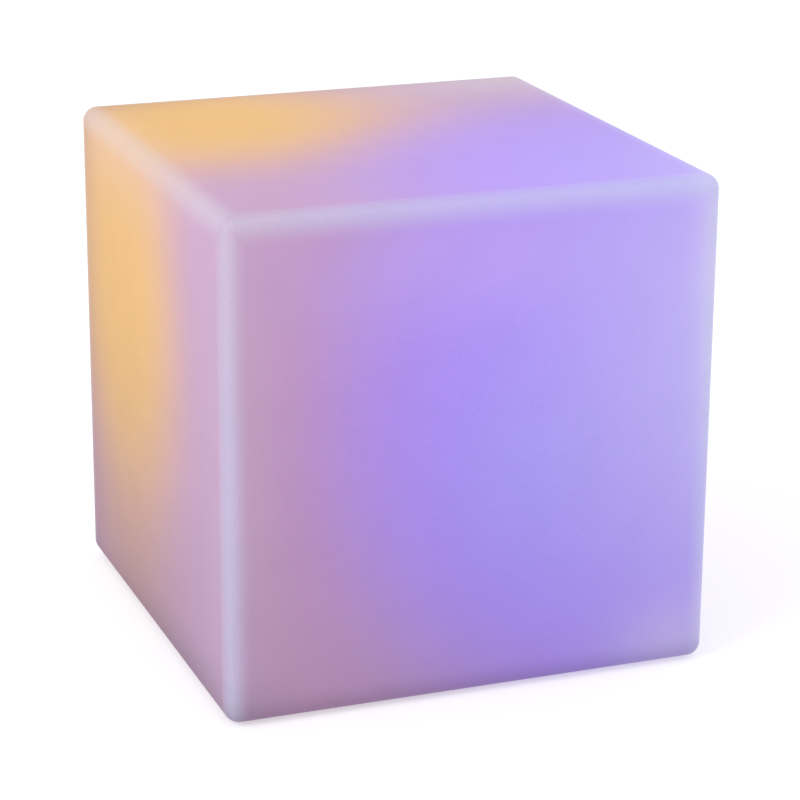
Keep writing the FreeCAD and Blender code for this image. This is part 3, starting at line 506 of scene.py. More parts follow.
BUTTON_RADIUS = 7 * MM
BUTTON_RIM = 0.9 * MM
BUTTON_DISH = 0.5 * MM
BUTTON_LIP_RADIUS = 8.4 * MM
BUTTON_LIP_THICKNESS = 1 * MM
BUTTON_LIP_GAP = 0.1 * MM
BUTTON_STEM = 2.2 * MM
MARK_RADIUS = 2.9 * MM
MARK_STROKE = 0.6 * MM
MARK_GAP = math.radians(38)
MARK_BAR = (0.9 * MM, 4.0 * MM)
MARK_RAISE = 0.16 * MM
MARK_SOFT = 0.14 * MM


def switch_mark(x, y):
    """1 on the usual on-off mark, a ring open towards the front with a bar in the gap, else 0."""
    y = -y
    ring = smooth((MARK_STROKE / 2 - abs(np.hypot(x, y) - MARK_RADIUS)) / MARK_SOFT + 0.5)
    ring = ring * smooth((abs(np.arctan2(x, y)) - MARK_GAP) * MARK_RADIUS / MARK_SOFT + 0.5)
    middle, half = sum(MARK_BAR) / 2, (MARK_BAR[1] - MARK_BAR[0]) / 2
    bar = smooth((MARK_STROKE / 2 - abs(x)) / MARK_SOFT + 0.5)
    bar = bar * smooth((half - abs(y - middle)) / MARK_SOFT + 0.5)
    return np.maximum(ring, bar)


def make_button(material):
    """The push button: a dished crown with a raised mark, a rounded rim, a skirt, a lip and a stem.

    The crown's level is dish * (1 - (r / crown radius)^2), less the mark's height where it is.
    """
    middle = np.array([*middle_of(button_low, button_high), 0])
    turns = around(120)
    crown = BUTTON_RADIUS - BUTTON_RIM
    radius = np.linspace(0, crown, 56)[:, None]
    x, y = radius * np.cos(turns), radius * np.sin(turns)
    dish = BUTTON_DISH * (1 - (radius / crown) ** 2)
    level = button_low.z + dish - MARK_RAISE * switch_mark(x, y)
    skin = Skin()
    skin.add(np.stack([x, y, level], axis=-1) + middle)
    rim = arc((crown, button_low.z + BUTTON_RIM), BUTTON_RIM, -90, 0)
    lip = FLANGE_BACK + BUTTON_LIP_GAP
    lip_top = lip + BUTTON_LIP_THICKNESS
    skirt = [(BUTTON_RADIUS, lip), (BUTTON_LIP_RADIUS, lip), (BUTTON_LIP_RADIUS, lip_top),
             (BUTTON_STEM, lip_top), (BUTTON_STEM, button_high.z), (0, button_high.z)]
    lathe(skin, (rim, skirt), middle[:2], steps=120)
    thing = finished(skin, "power_button_cap", material,
                     node="power_button", body=BUTTON_BODY)
    points = np.empty(3 * len(thing.data.vertices))
    thing.data.vertices.foreach_get("co", points)
    x, y, z = points.reshape(-1, 3).T - middle[:, None]
    shown = switch_mark(x, y) * (z < button_low.z + BUTTON_RIM)
    attribute = thing.data.attributes.new("mark", "FLOAT", "POINT")
    attribute.data.foreach_set("value", shown.astype(np.float32))


PLUG_RADIUS = 8 * MM
PLUG_RIM = 0.6 * MM
PLUG_DOME = 0.3 * MM
PLUG_DISH_RADIUS = 5.4 * MM
PLUG_DISH_EDGE = 0.5 * MM
PLUG_DISH = 0.25 * MM
PLUG_STEM = 4.6 * MM
PLUG_RIB = 0.3 * MM
STRAP_HALF = 2.5 * MM
STRAP_THICKNESS = 1.2 * MM
NECK_HALF = 1.7 * MM
# How much narrower the tab is at its end, and the turn of its rounding where it begins
TAB_NARROWING = 0.15
TAB_FIRST_TURN = 0.2
TAB_GRIP = 0.16 * MM
TAB_GRIP_PITCH = 1.1 * MM
# The least that the square of a strip's rounding comes down to
BLUNT_END = 0.05
PLUG_GAP = 0.1 * MM
PLUG_TOP = FLANGE_FACE - PLUG_GAP
SOCKET_SPOT = (10 * MM, -20 * MM)
HINGE = (24 * MM, -20 * MM, PLUG_TOP - STRAP_THICKNESS / 2)


def strip(skin, xs, half_widths, half_thicknesses, middle):
    """A flat strip along X, closed at both ends: each section is the curve |y|^4 + |z|^4 = 1 drawn
    out to the half width and the half thickness that belong to its x.
    """
    circle = polar(1, around(40)).T
    across, up = np.sign(circle) * np.sqrt(abs(circle))
    ends = np.ones_like(xs)
    ends[[0, -1]] = 0
    y = middle[0] + (half_widths * ends)[:, None] * across
    z = middle[1] + (half_thicknesses * ends)[:, None] * up
    skin.add(np.stack([np.broadcast_to(xs[:, None], y.shape), y, z], axis=-1))


def end_rounding(away):
    """Share of its thickness that a strip has at a distance from its end: a quarter circle."""
    left = 1 - np.clip(away / PLUG_RIM, 0, 1)
    return np.sqrt(np.clip(1 - left ** 2, BLUNT_END, 1))


def make_plug(material):
    """Silicone cap with a ribbed stem, a tab with cross ridges to pull it by, and a tapering strap.

    The cap's level is dome * (r / radius)^4, plus the dish by a smooth step over the dish's edge.
    The stem swells by rib * sin^2 twice on its way up. The strap's half width goes from its own
    to the neck's by a smooth step.
    """
    across, along = SOCKET_SPOT
    skin = Skin()
    radius = np.linspace(0, PLUG_RADIUS - PLUG_RIM, 60)
    dish = PLUG_DISH * smooth((PLUG_DISH_RADIUS - radius) / PLUG_DISH_EDGE + 0.5)
    level = plug_low.z + PLUG_DOME * (radius / PLUG_RADIUS) ** 4 + dish
    rim = arc((PLUG_RADIUS - PLUG_RIM, level[-1] + PLUG_RIM), PLUG_RIM, -90, 0)
    levels = np.linspace(PLUG_TOP, plug_high.z, 34)
    swell = PLUG_RIB * np.sin(around(33)) ** 2
    taper = PLUG_RIM * smooth((levels - plug_high.z) / PLUG_RIM + 1)
    stem = np.stack([PLUG_STEM + swell - taper, levels], axis=1)
    cap = (np.stack([radius, level], axis=1), rim[1:], [(PLUG_RADIUS, PLUG_TOP)])
    lathe(skin, (*cap, stem, [(0, plug_high.z)]), SOCKET_SPOT, steps=96)
    # the tab's half of the strap, up to the socket's middle
    tab = plug_low.x
    rounded = PLUG_RIM * (1 - np.cos(np.linspace(TAB_FIRST_TURN, math.pi / 2, 8)))
    plain = np.linspace(tab + PLUG_RIM, across, 90)[1:]
    xs = np.concatenate([[tab], tab + rounded, plain])
    grip = TAB_GRIP * (0.5 + 0.5 * np.cos(2 * math.pi * (xs - tab) / TAB_GRIP_PITCH))
    grip *= xs < across - PLUG_RADIUS
    rounding = end_rounding(xs - tab)
    half = STRAP_HALF * (1 - TAB_NARROWING * (1 - rounding))
    strip(skin, xs, half, (STRAP_THICKNESS / 2 - grip) * rounding, (along, HINGE[2]))
    # the tether's half of it
    xs = np.linspace(across, plug_high.x, 60)
    free = across + PLUG_RADIUS
    half = STRAP_HALF - (STRAP_HALF - NECK_HALF) * smooth((xs - free) / (plug_high.x - free))
    rounding = end_rounding(plug_high.x - xs)
    strip(skin, xs, half, STRAP_THICKNESS / 2 * rounding, (along, HINGE[2]))
    finished(skin, "port_plug_cap", material, node="port_plug", body=PLUG_BODY)


NECK_THICKNESS = 0.8 * MM
NECK_IN_STRAP = 2.4 * MM
NECK_IN_ANCHOR = 1.6 * MM


def make_neck(material):
    """The thin stretch of the tether, from inside the strap's end into the anchor."""
    xs = np.linspace(HINGE[0] - NECK_IN_STRAP, anchor_low.x + NECK_IN_ANCHOR, 49)
    skin = Skin()
    strip(skin, xs, NECK_HALF, NECK_THICKNESS / 2, HINGE[1:])
    neck = finished(skin, "tether_neck", material, body=None)
    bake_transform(neck)


ANCHOR_RIM = 0.4 * MM
ANCHOR_DOME = 0.15 * MM
ANCHOR_STEM = 1.45 * MM
ANCHOR_BARB = 2.4 * MM


def make_anchor(material):
    """Round button of silicone with a stem through the flange and a barb behind it.

    Its face's level is dome * (r / radius)^2.
    """
    outer = (anchor_high.x - anchor_low.x) / 2
    radius = np.linspace(0, outer - ANCHOR_RIM, 12)
    level = anchor_low.z + ANCHOR_DOME * (radius / outer) ** 2
    rim = arc((outer - ANCHOR_RIM, level[-1] + ANCHOR_RIM), ANCHOR_RIM, -90, 0)
    back = [(outer, FLANGE_FACE), (ANCHOR_STEM, FLANGE_FACE), (ANCHOR_STEM, FLANGE_BACK),
            (ANCHOR_BARB, FLANGE_BACK), (ANCHOR_STEM, anchor_high.z), (0, anchor_high.z)]
    skin = Skin()
    face = np.stack([radius, level], axis=1)
    lathe(skin, (face, rim[1:], back), middle_of(anchor_low, anchor_high), steps=72)
    finished(skin, "tether_anchor", material, node="plug_anchor")


WINDOW_RADIUS = 2 * MM
WINDOW_COLLAR_RADIUS = 3 * MM
WINDOW_COLLAR_THICKNESS = 1 * MM


def make_window(material):
    """Light pipe with a lens-shaped end: its level is the proud height times (r / radius)^2."""
    radius = np.linspace(0, WINDOW_RADIUS, 20)
    level = lens_low.z + (FLANGE_FACE - lens_low.z) * (radius / WINDOW_RADIUS) ** 2
    collar = FLANGE_BACK + WINDOW_COLLAR_THICKNESS
    pipe = [(WINDOW_RADIUS, FLANGE_BACK), (WINDOW_COLLAR_RADIUS, FLANGE_BACK),
            (WINDOW_COLLAR_RADIUS, collar), (WINDOW_RADIUS, collar),
            (WINDOW_RADIUS, lens_high.z), (0, lens_high.z)]
    skin = Skin()
    face = np.stack([radius, level], axis=1)
    lathe(skin, (face, pipe), middle_of(lens_low, lens_high), steps=48)
    finished(skin, "status_window", material, node="status_lens")


# ---------------- finishes

# Nearly all of a noise lies in this range
NOISE_RANGE = (0.3, 0.7)


def linear(red, green, blue):
    """A screen colour of 0 to 255 as the linear colour that nodes take."""
    shares = np.array([red, green, blue]) / 255
    curve = np.where(shares <= 0.04045, shares / 12.92, ((shares + 0.055) / 1.055) ** 2.4)
    return (*[float(share) for share in curve], 1.0)


class Finish:
    """A material under construction: add() makes a node and wires or sets its inputs."""

    def __init__(self, name):
        self.material = bpy.data.materials.new(name)
        self.material.use_nodes = True
        self.nodes = self.material.node_tree.nodes
        self.links = self.material.node_tree.links
        self.shader = self.nodes["Principled BSDF"]
        self.place = self.add("ShaderNodeTexCoord").outputs["Object"]

    def put(self, socket, value):
        """Wires an input to another node's output, or sets it."""
        if isinstance(value, bpy.types.NodeSocket):
            self.links.new(value, socket)
        else:
            socket.default_value = value

    def add(self, kind, inputs=(), **settings):
        """A node with its inputs by name and its settings."""
        node = self.nodes.new(kind)
        for name, value in settings.items():
            setattr(node, name, value)
        for name, value in dict(inputs).items():
            self.put(node.inputs[name], value)
        return node

    def surface(self, **values):
        """Sets the shader's sockets; an underscore in a name stands for a space."""
        for name, value in values.items():
            self.put(self.shader.inputs[name.replace("_", " ")], value)

    def sum(self, operation, *values):
        """One step of arithmetic on numbers."""
        node = self.add("ShaderNodeMath", operation=operation)
        for socket, value in zip(node.inputs, values):
            self.put(socket, value)
        return node.outputs[0]

    def vector(self, operation, *values):
        """One step of arithmetic on vectors."""
        node = self.add("ShaderNodeVectorMath", operation=operation)
        takes_scale = operation == "SCALE"
        sockets = (node.inputs["Vector"], node.inputs["Scale"]) if takes_scale else node.inputs
        for socket, value in zip(sockets, values):
            self.put(socket, value)
        return node.outputs["Value" if operation in ("DOT_PRODUCT", "LENGTH") else "Vector"]

    def mix(self, share, below, above, blend="MIX"):
        """One colour laid over another by a share."""
        node = self.add("ShaderNodeMix", data_type="RGBA", blend_type=blend)
        self.put(node.inputs[0], share)
        self.put(node.inputs[6], below)
        self.put(node.inputs[7], above)
        return node.outputs[2]

    def noise(self, scale, detail=3.0, roughness=0.5, stretch=None):
        """Cloudy noise of so many blots to a metre, drawn finer along an axis by its stretch."""
        place = self.place
        if stretch:
            inputs = {"Vector": place, "Scale": stretch}
            place = self.add("ShaderNodeMapping", inputs).outputs[0]
        inputs = {"Vector": place, "Scale": scale, "Detail": detail, "Roughness": roughness}
        return self.add("ShaderNodeTexNoise", inputs).outputs[0]

    def span(self, value, low, high, to_low=0.0, to_high=1.0, eased=False):
        """The value carried from one range to another and held at its ends."""
        inputs = {"Value": value, "From Min": low, "From Max": high,
                  "To Min": to_low, "To Max": to_high}
        kind = "SMOOTHSTEP" if eased else "LINEAR"
        return self.add("ShaderNodeMapRange", inputs, interpolation_type=kind).outputs[0]

    def axes(self, vector=None):
        """The X, Y and Z of a vector, or of the place."""
        return self.add("ShaderNodeSeparateXYZ", {"Vector": vector or self.place}).outputs

    def radius(self):
        """How far the place is from the upright line through the origin."""
        return self.vector("LENGTH", self.vector("MULTIPLY", self.place, (1, 1, 0)))

    def gloss(self, noise, low, high):
        """Roughness from low to high over the range that a noise fills."""
        self.surface(Roughness=self.span(noise, *NOISE_RANGE, low, high))

    def relief(self, height, strength, depth):
        """Raises the surface where the height is large."""
        inputs = {"Height": height, "Strength": strength, "Distance": depth}
        self.surface(Normal=self.add("ShaderNodeBump", inputs).outputs[0])


# Pools of light on the skin: the middle of each in shares of the cube's side, from the middle of
# its base; how far it reaches along X, Y and Z in the same shares; its colour; how strong it is at
# its middle; and how crisp its border is (1 fades evenly, 2 and more is flat with a soft border).
BARE_GLOW = linear(198, 158, 198)
POOLS = {
    "side_amber": ((-0.50, 0.20, 0.64), (0.38, 0.40, 0.45), linear(248, 196, 121), 1.0, 1.6),
    "top_amber": ((-0.29, 0.27, 1.00), (0.42, 0.38, 0.35), linear(238, 188, 117), 1.0, 1.4),
    "rose": ((-0.32, -0.52, 0.55), (0.22, 0.16, 0.50), linear(198, 150, 184), 0.7, 1.0),
    "violet": ((0.50, -0.50, 0.58), (0.80, 0.84, 0.74), linear(177, 143, 255), 1.0, 3.5),
    "upper_lilac": ((0.02, -0.50, 0.88), (0.36, 0.20, 0.12), linear(198, 168, 246), 0.5, 1.0),
    "blue_heart": ((0.12, -0.50, 0.45), (0.20, 0.30, 0.26), linear(170, 160, 255), 0.6, 1.0),
    "periwinkle": ((0.66, -0.50, 0.64), (0.48, 0.62, 0.66), linear(202, 194, 252), 0.85, 1.2),
    "pale_corner": ((0.50, 0.62, 1.00), (0.40, 0.28, 0.40), linear(220, 212, 216), 0.8, 1.0),
    "low_corner": ((0.44, -0.50, 0.04), (0.14, 0.10, 0.10), linear(220, 206, 250), 0.6, 1.0),
    "right_band": ((0.50, -0.50, 0.88), (0.05, 0.06, 0.44), linear(226, 218, 250), 0.6, 1.0),
    "side_rim": ((-0.50, 0.20, 0.98), (0.05, 0.45, 0.10), linear(240, 202, 192), 0.35, 1.0),
    "near_wings": ((-0.49, -0.47, 0.45), (0.09, 0.15, 0.62), linear(203, 174, 204), 0.5, 1.0),
}
# Painted shade: the middle and the reach of each as above, and the shade that it multiplies by
PAINTED_SHADES = {
    "ground": ((0, 0, -0.30), (1.4, 1.4, 0.80), (0.68, 0.68, 0.74, 1)),
    "far_side": ((-0.50, 0.24, 0.10), (0.40, 0.42, 0.18), (0.93, 0.90, 0.65, 1)),
    "far_wall": ((-0.50, 0.22, 0.44), (0.20, 0.42, 0.36), (0.86, 0.85, 0.88, 1)),
    "far_edge": ((-0.50, 0.52, 0.50), (0.20, 0.13, 0.80), (0.80, 0.80, 0.86, 1)),
    "far_rim": ((-0.20, 0.52, 1.00), (0.70, 0.065, 0.20), (0.79, 0.755, 0.66, 1)),
    "side_foot": ((-0.50, -0.25, 0.04), (0.10, 0.45, 0.05), (0.82, 0.85, 0.80, 1)),
    "top_right": ((0.40, -0.05, 1.00), (0.18, 0.45, 0.10), (0.94, 0.93, 0.95, 1)),
}
# Painted highlight along the rounded edges: its colour, its share at an edge, where its band starts
# and how far it spreads down
EDGE_HIGHLIGHT_COLOUR = linear(206, 211, 240)
# Where the painted edge highlight is warmer (a middle and a reach, as for the pools), and its
# colour there
WARM_HIGHLIGHT_PLACE = ((-0.50, 0.15, 1.00), (0.14, 0.60, 0.25))
WARM_HIGHLIGHT_COLOUR = linear(228, 208, 200)
EDGE_HIGHLIGHT_SHARE = 0.56
EDGE_START = 0.90
EDGE_SPREAD_DOWN = 1.25
# Painted shade in bands above the base, each with its height in shares of the side and its shade at
# the floor
FOOT_SHADE_BANDS = ((0.065, 0.72), (0.14, 0.94))


def nearness(finish, middle, reach, crisp=1.0):
    """exp(-(d^2)^crisp), where d is the way from the middle with each axis shrunk by its reach."""
    away = finish.vector("SUBTRACT", finish.place, Vector(middle) * SIDE)
    away = finish.vector("MULTIPLY", away, [1 / (share * SIDE) for share in reach])
    square = finish.vector("DOT_PRODUCT", away, away)
    if crisp != 1:
        square = finish.sum("POWER", square, crisp)
    return finish.sum("EXPONENT", finish.sum("MULTIPLY", square, -1.0))


def edge_nearness(finish):
    """How near a point is to an edge: 1 on it, less over both of its faces, so a smooth step of it
    is a band. It is the second largest of |x|, |y| and z in halves of the side from the cube's
    middle, where the way down from the top is divided by its spread, so the bands along the top
    are narrower than the upright ones, and there is none along the base.
    """
    away = finish.vector("SUBTRACT", finish.place, (0, 0, HALF))
    x, y, z = finish.axes(away)
    x = finish.sum("ABSOLUTE", finish.sum("DIVIDE", x, HALF))
    y = finish.sum("ABSOLUTE", finish.sum("DIVIDE", y, HALF))
    z = finish.span(z, -HALF, HALF, 1 - 2 / EDGE_SPREAD_DOWN, 1)
    upright = finish.sum("MINIMUM", x, y)
    level = finish.sum("MINIMUM", finish.sum("MAXIMUM", x, y), z)
    return finish.sum("MAXIMUM", upright, level)


def glow_colour(finish):
    """The colour of the lit skin: pools laid over each other, painted shade from below and at the
    far edges, and a painted highlight along the edges.
    """
    colour = BARE_GLOW
    for middle, reach, pool_colour, strength, crisp in POOLS.values():
        share = finish.sum("MULTIPLY", nearness(finish, middle, reach, crisp), strength)
        colour = finish.mix(share, colour, pool_colour)
    # painted shade, multiplied into the glow at each of its places
    for middle, reach, shade in PAINTED_SHADES.values():
        colour = finish.mix(nearness(finish, middle, reach), colour, shade, blend="MULTIPLY")
    # painted highlight along the edges, paler, and warmer along the top of the left side
    edge = finish.span(edge_nearness(finish), EDGE_START, 1.0, 0, EDGE_HIGHLIGHT_SHARE, eased=True)
    edge_highlight = finish.mix(nearness(finish, *WARM_HIGHLIGHT_PLACE), EDGE_HIGHLIGHT_COLOUR, WARM_HIGHLIGHT_COLOUR)
    colour = finish.mix(edge, colour, edge_highlight)
    # painted shade, darker towards the base
    for band, shade in FOOT_SHADE_BANDS:
        fade = finish.span(finish.axes()["Z"], 0, band * SIDE, shade, 1.0, eased=True)
        colour = finish.vector("SCALE", colour, fade)
    return colour


# Shares of the glow painted into the skin's base colour and given off as light, and the shades of
# its grain and clouds
GLOW_PAINTED_IN_BASE = 0.45
SKIN_GIVES = 0.6
SPECK_RANGE = (0.38, 0.62)
SPECK_SHADES = ((0.92, 0.98, 0.96, 1), (1.05, 1.00, 1.02, 1))
CLOUD_SHADES = (0.985, 1.015)


def skin_finish():
    """Milky moulded plastic lit from within: part of its colour is light that it gives itself."""
    finish = Finish("skin_milky")
    specks = finish.span(finish.noise(800, detail=2, roughness=0.6), *SPECK_RANGE)
    specks = finish.mix(specks, *SPECK_SHADES)
    cloud = finish.span(finish.noise(26), *NOISE_RANGE, *CLOUD_SHADES)
    glow = finish.vector("MULTIPLY", glow_colour(finish), specks)
    glow = finish.vector("SCALE", glow, cloud)
    # the base colour is the glow scaled down, so its light, painted shade and painted edge
    # highlight are painted into it too
    body = finish.vector("SCALE", glow, GLOW_PAINTED_IN_BASE)
    finish.surface(Base_Color=body, Roughness=0.55, Specular_IOR_Level=0.3)
    finish.surface(Emission_Color=glow, Emission_Strength=SKIN_GIVES)
    finish.relief(finish.noise(260, detail=2), strength=0.25, depth=0.4 * MM)
    return finish.material


DUST_HEIGHT = 1.3 * MM


def rubber_finish():
    """Matt dark rubber with a fine grain, and pale dust rubbed into what stands on the ground."""
    finish = Finish("foot_rubber_worn")
    grain = finish.noise(1400, detail=2)
    patches = finish.noise(620, detail=5, roughness=0.7)
    low = finish.span(finish.axes()["Z"], 0, DUST_HEIGHT, 1, 0, eased=True)
    dust = finish.sum("MULTIPLY", low, finish.span(patches, 0.42, 0.68, 0, 0.35))
    rubber = finish.mix(grain, linear(44, 44, 48), linear(66, 66, 70))
    finish.surface(Base_Color=finish.mix(dust, rubber, linear(120, 116, 108)))
    finish.gloss(patches, 0.7, 0.9)
    finish.relief(grain, strength=0.35, depth=0.3 * MM)
    return finish.material


RECESS_PAINTED_SHADE = 0.6


def steel_finish():
    """Turned stainless steel with fine lines; the flange's screws have painted shade in their
    recesses.
    """
    finish = Finish("screw_steel")
    lines = finish.noise(900, stretch=(1, 1, 6))
    colour = finish.mix(finish.noise(180), linear(168, 168, 172), linear(206, 206, 208))
    level = finish.axes()["Z"]
    crown, floor = screw_low.z + HEAD_DOME, screw_low.z + CROSS_DEPTH
    # painted shade: darker from the head's face into the cross recess and on up to the flange's
    # back
    shade = finish.span(level, crown, floor, 1, RECESS_PAINTED_SHADE)
    shade = finish.sum("MAXIMUM", shade, finish.span(level, FLANGE_BACK, LANDING))
    finish.surface(Base_Color=finish.vector("SCALE", colour, shade), Metallic=1.0)
    finish.gloss(lines, 0.22, 0.42)
    finish.relief(lines, strength=0.12, depth=0.2 * MM)
    return finish.material


GROOVE_RADIUS = 52 * MM
GRIME_HALF = 1.4 * MM


def flange_finish():
    """Spark-textured white plastic, a little yellowed in patches, with grime along the groove."""
    finish = Finish("module_plastic_textured")
    grain = finish.noise(2200, detail=2)
    off_groove = finish.sum("ABSOLUTE", finish.sum("SUBTRACT", finish.radius(), GROOVE_RADIUS))
    grime = finish.span(off_groove, 0, GRIME_HALF, 0.5, 0, eased=True)
    grime = finish.sum("MULTIPLY", grime, finish.span(finish.noise(120), 0.35, 0.65))
    white = finish.mix(finish.noise(45), linear(222, 222, 218), linear(232, 230, 226))
    finish.surface(Base_Color=finish.mix(grime, white, linear(150, 146, 140)))
    finish.gloss(grain, 0.45, 0.6)
    finish.relief(grain, strength=0.6, depth=0.4 * MM)
    return finish.material


def button_finish():
    """Soft-touch dark plastic, with the raised mark printed pale and a little worn."""
    finish = Finish("button_soft")
    grain = finish.noise(1600, detail=2)
    worn = finish.span(finish.noise(420, detail=4), 0.3, 0.55, 0.7, 1.0)
    mark = finish.add("ShaderNodeAttribute", attribute_name="mark").outputs["Fac"]
    printed = finish.sum("MULTIPLY", finish.span(mark, 0.45, 0.6), worn)
    dark = finish.mix(grain, linear(66, 68, 74), linear(82, 84, 90))
    finish.surface(Base_Color=finish.mix(printed, dark, linear(222, 222, 220)), Coat_Weight=0.05)
    finish.gloss(grain, 0.58, 0.72)
    finish.relief(grain, strength=0.2, depth=0.2 * MM)
    return finish.material


def plug_finish():
    """Matt grey silicone with a bloom of lint on it."""
    finish = Finish("plug_silicone_matt")
    grain = finish.noise(1200, detail=2)
    lint = finish.span(finish.noise(900, detail=5, roughness=0.75), 0.52, 0.72, 0, 0.22)
    grey = finish.mix(grain, linear(60, 60, 66), linear(78, 78, 84))
    finish.surface(Base_Color=finish.mix(lint, grey, linear(120, 118, 116)), Sheen_Weight=0.15)
    finish.gloss(grain, 0.62, 0.8)
    finish.relief(grain, strength=0.2, depth=0.2 * MM)
    return finish.material


def window_finish():
    """Clear light pipe: faintly milky, glossy, with fine scratches on its end."""
    finish = Finish("window_clear")
    scratches = finish.noise(700, detail=4, stretch=(1, 9, 1))
    milk = finish.mix(scratches, linear(214, 222, 226), linear(232, 240, 244))
    rough = finish.span(scratches, 0.4, 0.7, 0.06, 0.22)
    finish.surface(Base_Color=milk, Roughness=rough, Transmission_Weight=0.35)
    finish.relief(scratches, strength=0.05, depth=0.1 * MM)
    return finish.material


BOARD_TOP = 29.1 * MM
CAN_BASE = BOARD_TOP + 0.75 * MM
CAN_EDGE = 0.05 * MM


def board_finish():
    """Green solder mask with copper lines showing through it here and there, and bare edges."""
    finish = Finish("board_mask")
    inputs = {"Vector": finish.place, "Scale": 180, "Mortar Size": 0.02, "Mortar Smooth": 0.3}
    lines = finish.add("ShaderNodeTexBrick", inputs, offset=0.5, offset_frequency=2).outputs["Fac"]
    lines = finish.sum("MULTIPLY", lines, finish.span(finish.noise(110, detail=1), 0.46, 0.50))
    mask = finish.mix(finish.noise(60), linear(20, 100, 60), linear(28, 112, 68))
    mask = finish.mix(lines, mask, linear(70, 156, 96))
    normal = finish.add("ShaderNodeTexCoord").outputs["Normal"]
    edge = finish.span(finish.sum("ABSOLUTE", finish.axes(normal)["Z"]), 0.4, 0.6, 1, 0)
    finish.surface(Base_Color=finish.mix(edge, mask, linear(190, 172, 120)))
    finish.surface(Roughness=finish.span(edge, 0, 1, 0.32, 0.8))
    finish.relief(lines, strength=0.4, depth=0.1 * MM)
    return finish.material


def radio_finish():
    """The radio's little green board with its drawn metal can on top."""
    finish = Finish("radio_can")
    grain = finish.noise(700, stretch=(1, 12, 1))
    can = finish.span(finish.axes()["Z"], CAN_BASE, CAN_BASE + CAN_EDGE)
    tin = finish.mix(grain, linear(176, 178, 180), linear(208, 208, 206))
    finish.surface(Base_Color=finish.mix(can, linear(24, 92, 60), tin), Metallic=can)
    finish.gloss(grain, 0.25, 0.4)
    finish.relief(grain, strength=0.1, depth=0.1 * MM)
    return finish.material


cells_low, cells_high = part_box("battery_cells")
CELL_RADIUS = (cells_high.z - cells_low.z) / 2
CELL_BARE_RADIUS = CELL_RADIUS - 1.8 * MM
CELL_PITCH = cells_high.y - cells_low.y - 2 * CELL_RADIUS
WRAP_EDGE = 0.2 * MM


def cell_finish():
    """Round cells in a glossy shrunk wrap that laps over their steel ends.

    They lie along X, so with Y folded about the pair's middle there is one axis to measure from.
    """
    finish = Finish("cell_wrapped")
    between = Vector((0, (cells_low.y + cells_high.y) / 2, cells_low.z + CELL_RADIUS))
    folded = finish.vector("ABSOLUTE", finish.vector("SUBTRACT", finish.place, between))
    off_axis = finish.vector("SUBTRACT", folded, (0, CELL_PITCH / 2, 0))
    off_axis = finish.vector("LENGTH", finish.vector("MULTIPLY", off_axis, (0, 1, 1)))
    bare = finish.span(off_axis, CELL_BARE_RADIUS, CELL_BARE_RADIUS + WRAP_EDGE, 1, 0)
    creases = finish.noise(90, detail=4, stretch=(0.4, 3, 3))
    wrap = finish.mix(creases, linear(36, 92, 156), linear(54, 116, 180))
    steel = finish.mix(creases, linear(168, 168, 168), linear(204, 204, 202))
    finish.surface(Base_Color=finish.mix(bare, wrap, steel), Metallic=bare)
    finish.gloss(creases, 0.22, 0.36)
    finish.relief(creases, strength=0.15, depth=0.3 * MM)
    return finish.material


def plate_finish():
    """Turned aluminium: its roughness and bump are a noise of the radius alone, so it has rings."""
    finish = Finish("plate_turned")
    out = finish.add("ShaderNodeCombineXYZ", {"X": finish.radius()}).outputs[0]
    inputs = {"Vector": out, "Scale": 2600, "Detail": 2}
    rings = finish.add("ShaderNodeTexNoise", inputs).outputs[0]
    metal = finish.mix(rings, linear(186, 188, 192), linear(212, 214, 216))
    finish.surface(Base_Color=metal, Metallic=1.0)
    finish.gloss(rings, 0.26, 0.44)
    finish.relief(rings, strength=0.2, depth=0.2 * MM)
    return finish.material


# Each ring of lamps: its radius and count, and the discs on a lamp, with how far along the ring
# each lies from the lamp's middle, its radius and its colour
COLOUR_RING = (36 * MM, 18, (
    (0, 1.9 * MM, linear(222, 224, 220)), (-0.9 * MM, 0.45 * MM, linear(226, 60, 52)),
    (0, 0.45 * MM, linear(70, 200, 90)), (0.9 * MM, 0.45 * MM, linear(70, 90, 232))))
WHITE_RING = (18 * MM, 8, ((0, 1.25 * MM, linear(246, 214, 104)),))
DISC_SOFT = 0.06 * MM
LAMP_GLOW = 0.15


def lamps_finish(name, circle, count, discs):
    """A ring of lamps in pale bodies, lit: each has its window and dies as discs on it.

    A place's share of its lamp's turn is frac(turn * count / 2 pi + 1/2) - 1/2, which times the
    ring's pitch is how far it is along the ring from the lamp's middle.
    """
    finish = Finish(name)
    x, y, _ = finish.axes()
    turn = finish.sum("ARCTAN2", y, x)
    turn = finish.sum("MULTIPLY_ADD", turn, count / (2 * math.pi), 0.5)
    share = finish.sum("SUBTRACT", finish.sum("FRACT", turn), 0.5)
    along = finish.sum("MULTIPLY", share, 2 * math.pi * circle / count)
    out = finish.sum("SUBTRACT", finish.radius(), circle)
    colour = finish.mix(finish.noise(500), linear(228, 228, 222), linear(242, 242, 238))
    for offset, radius, disc_colour in discs:
        inputs = {"X": finish.sum("SUBTRACT", along, offset), "Y": out}
        away = finish.add("ShaderNodeCombineXYZ", inputs).outputs[0]
        away = finish.vector("LENGTH", away)
        inside = finish.span(away, radius - DISC_SOFT, radius + DISC_SOFT, 1, 0, eased=True)
        colour = finish.mix(inside, colour, disc_colour)
    finish.surface(Base_Color=colour, Roughness=0.3)
    finish.surface(Emission_Color=colour, Emission_Strength=LAMP_GLOW)
    return finish.material


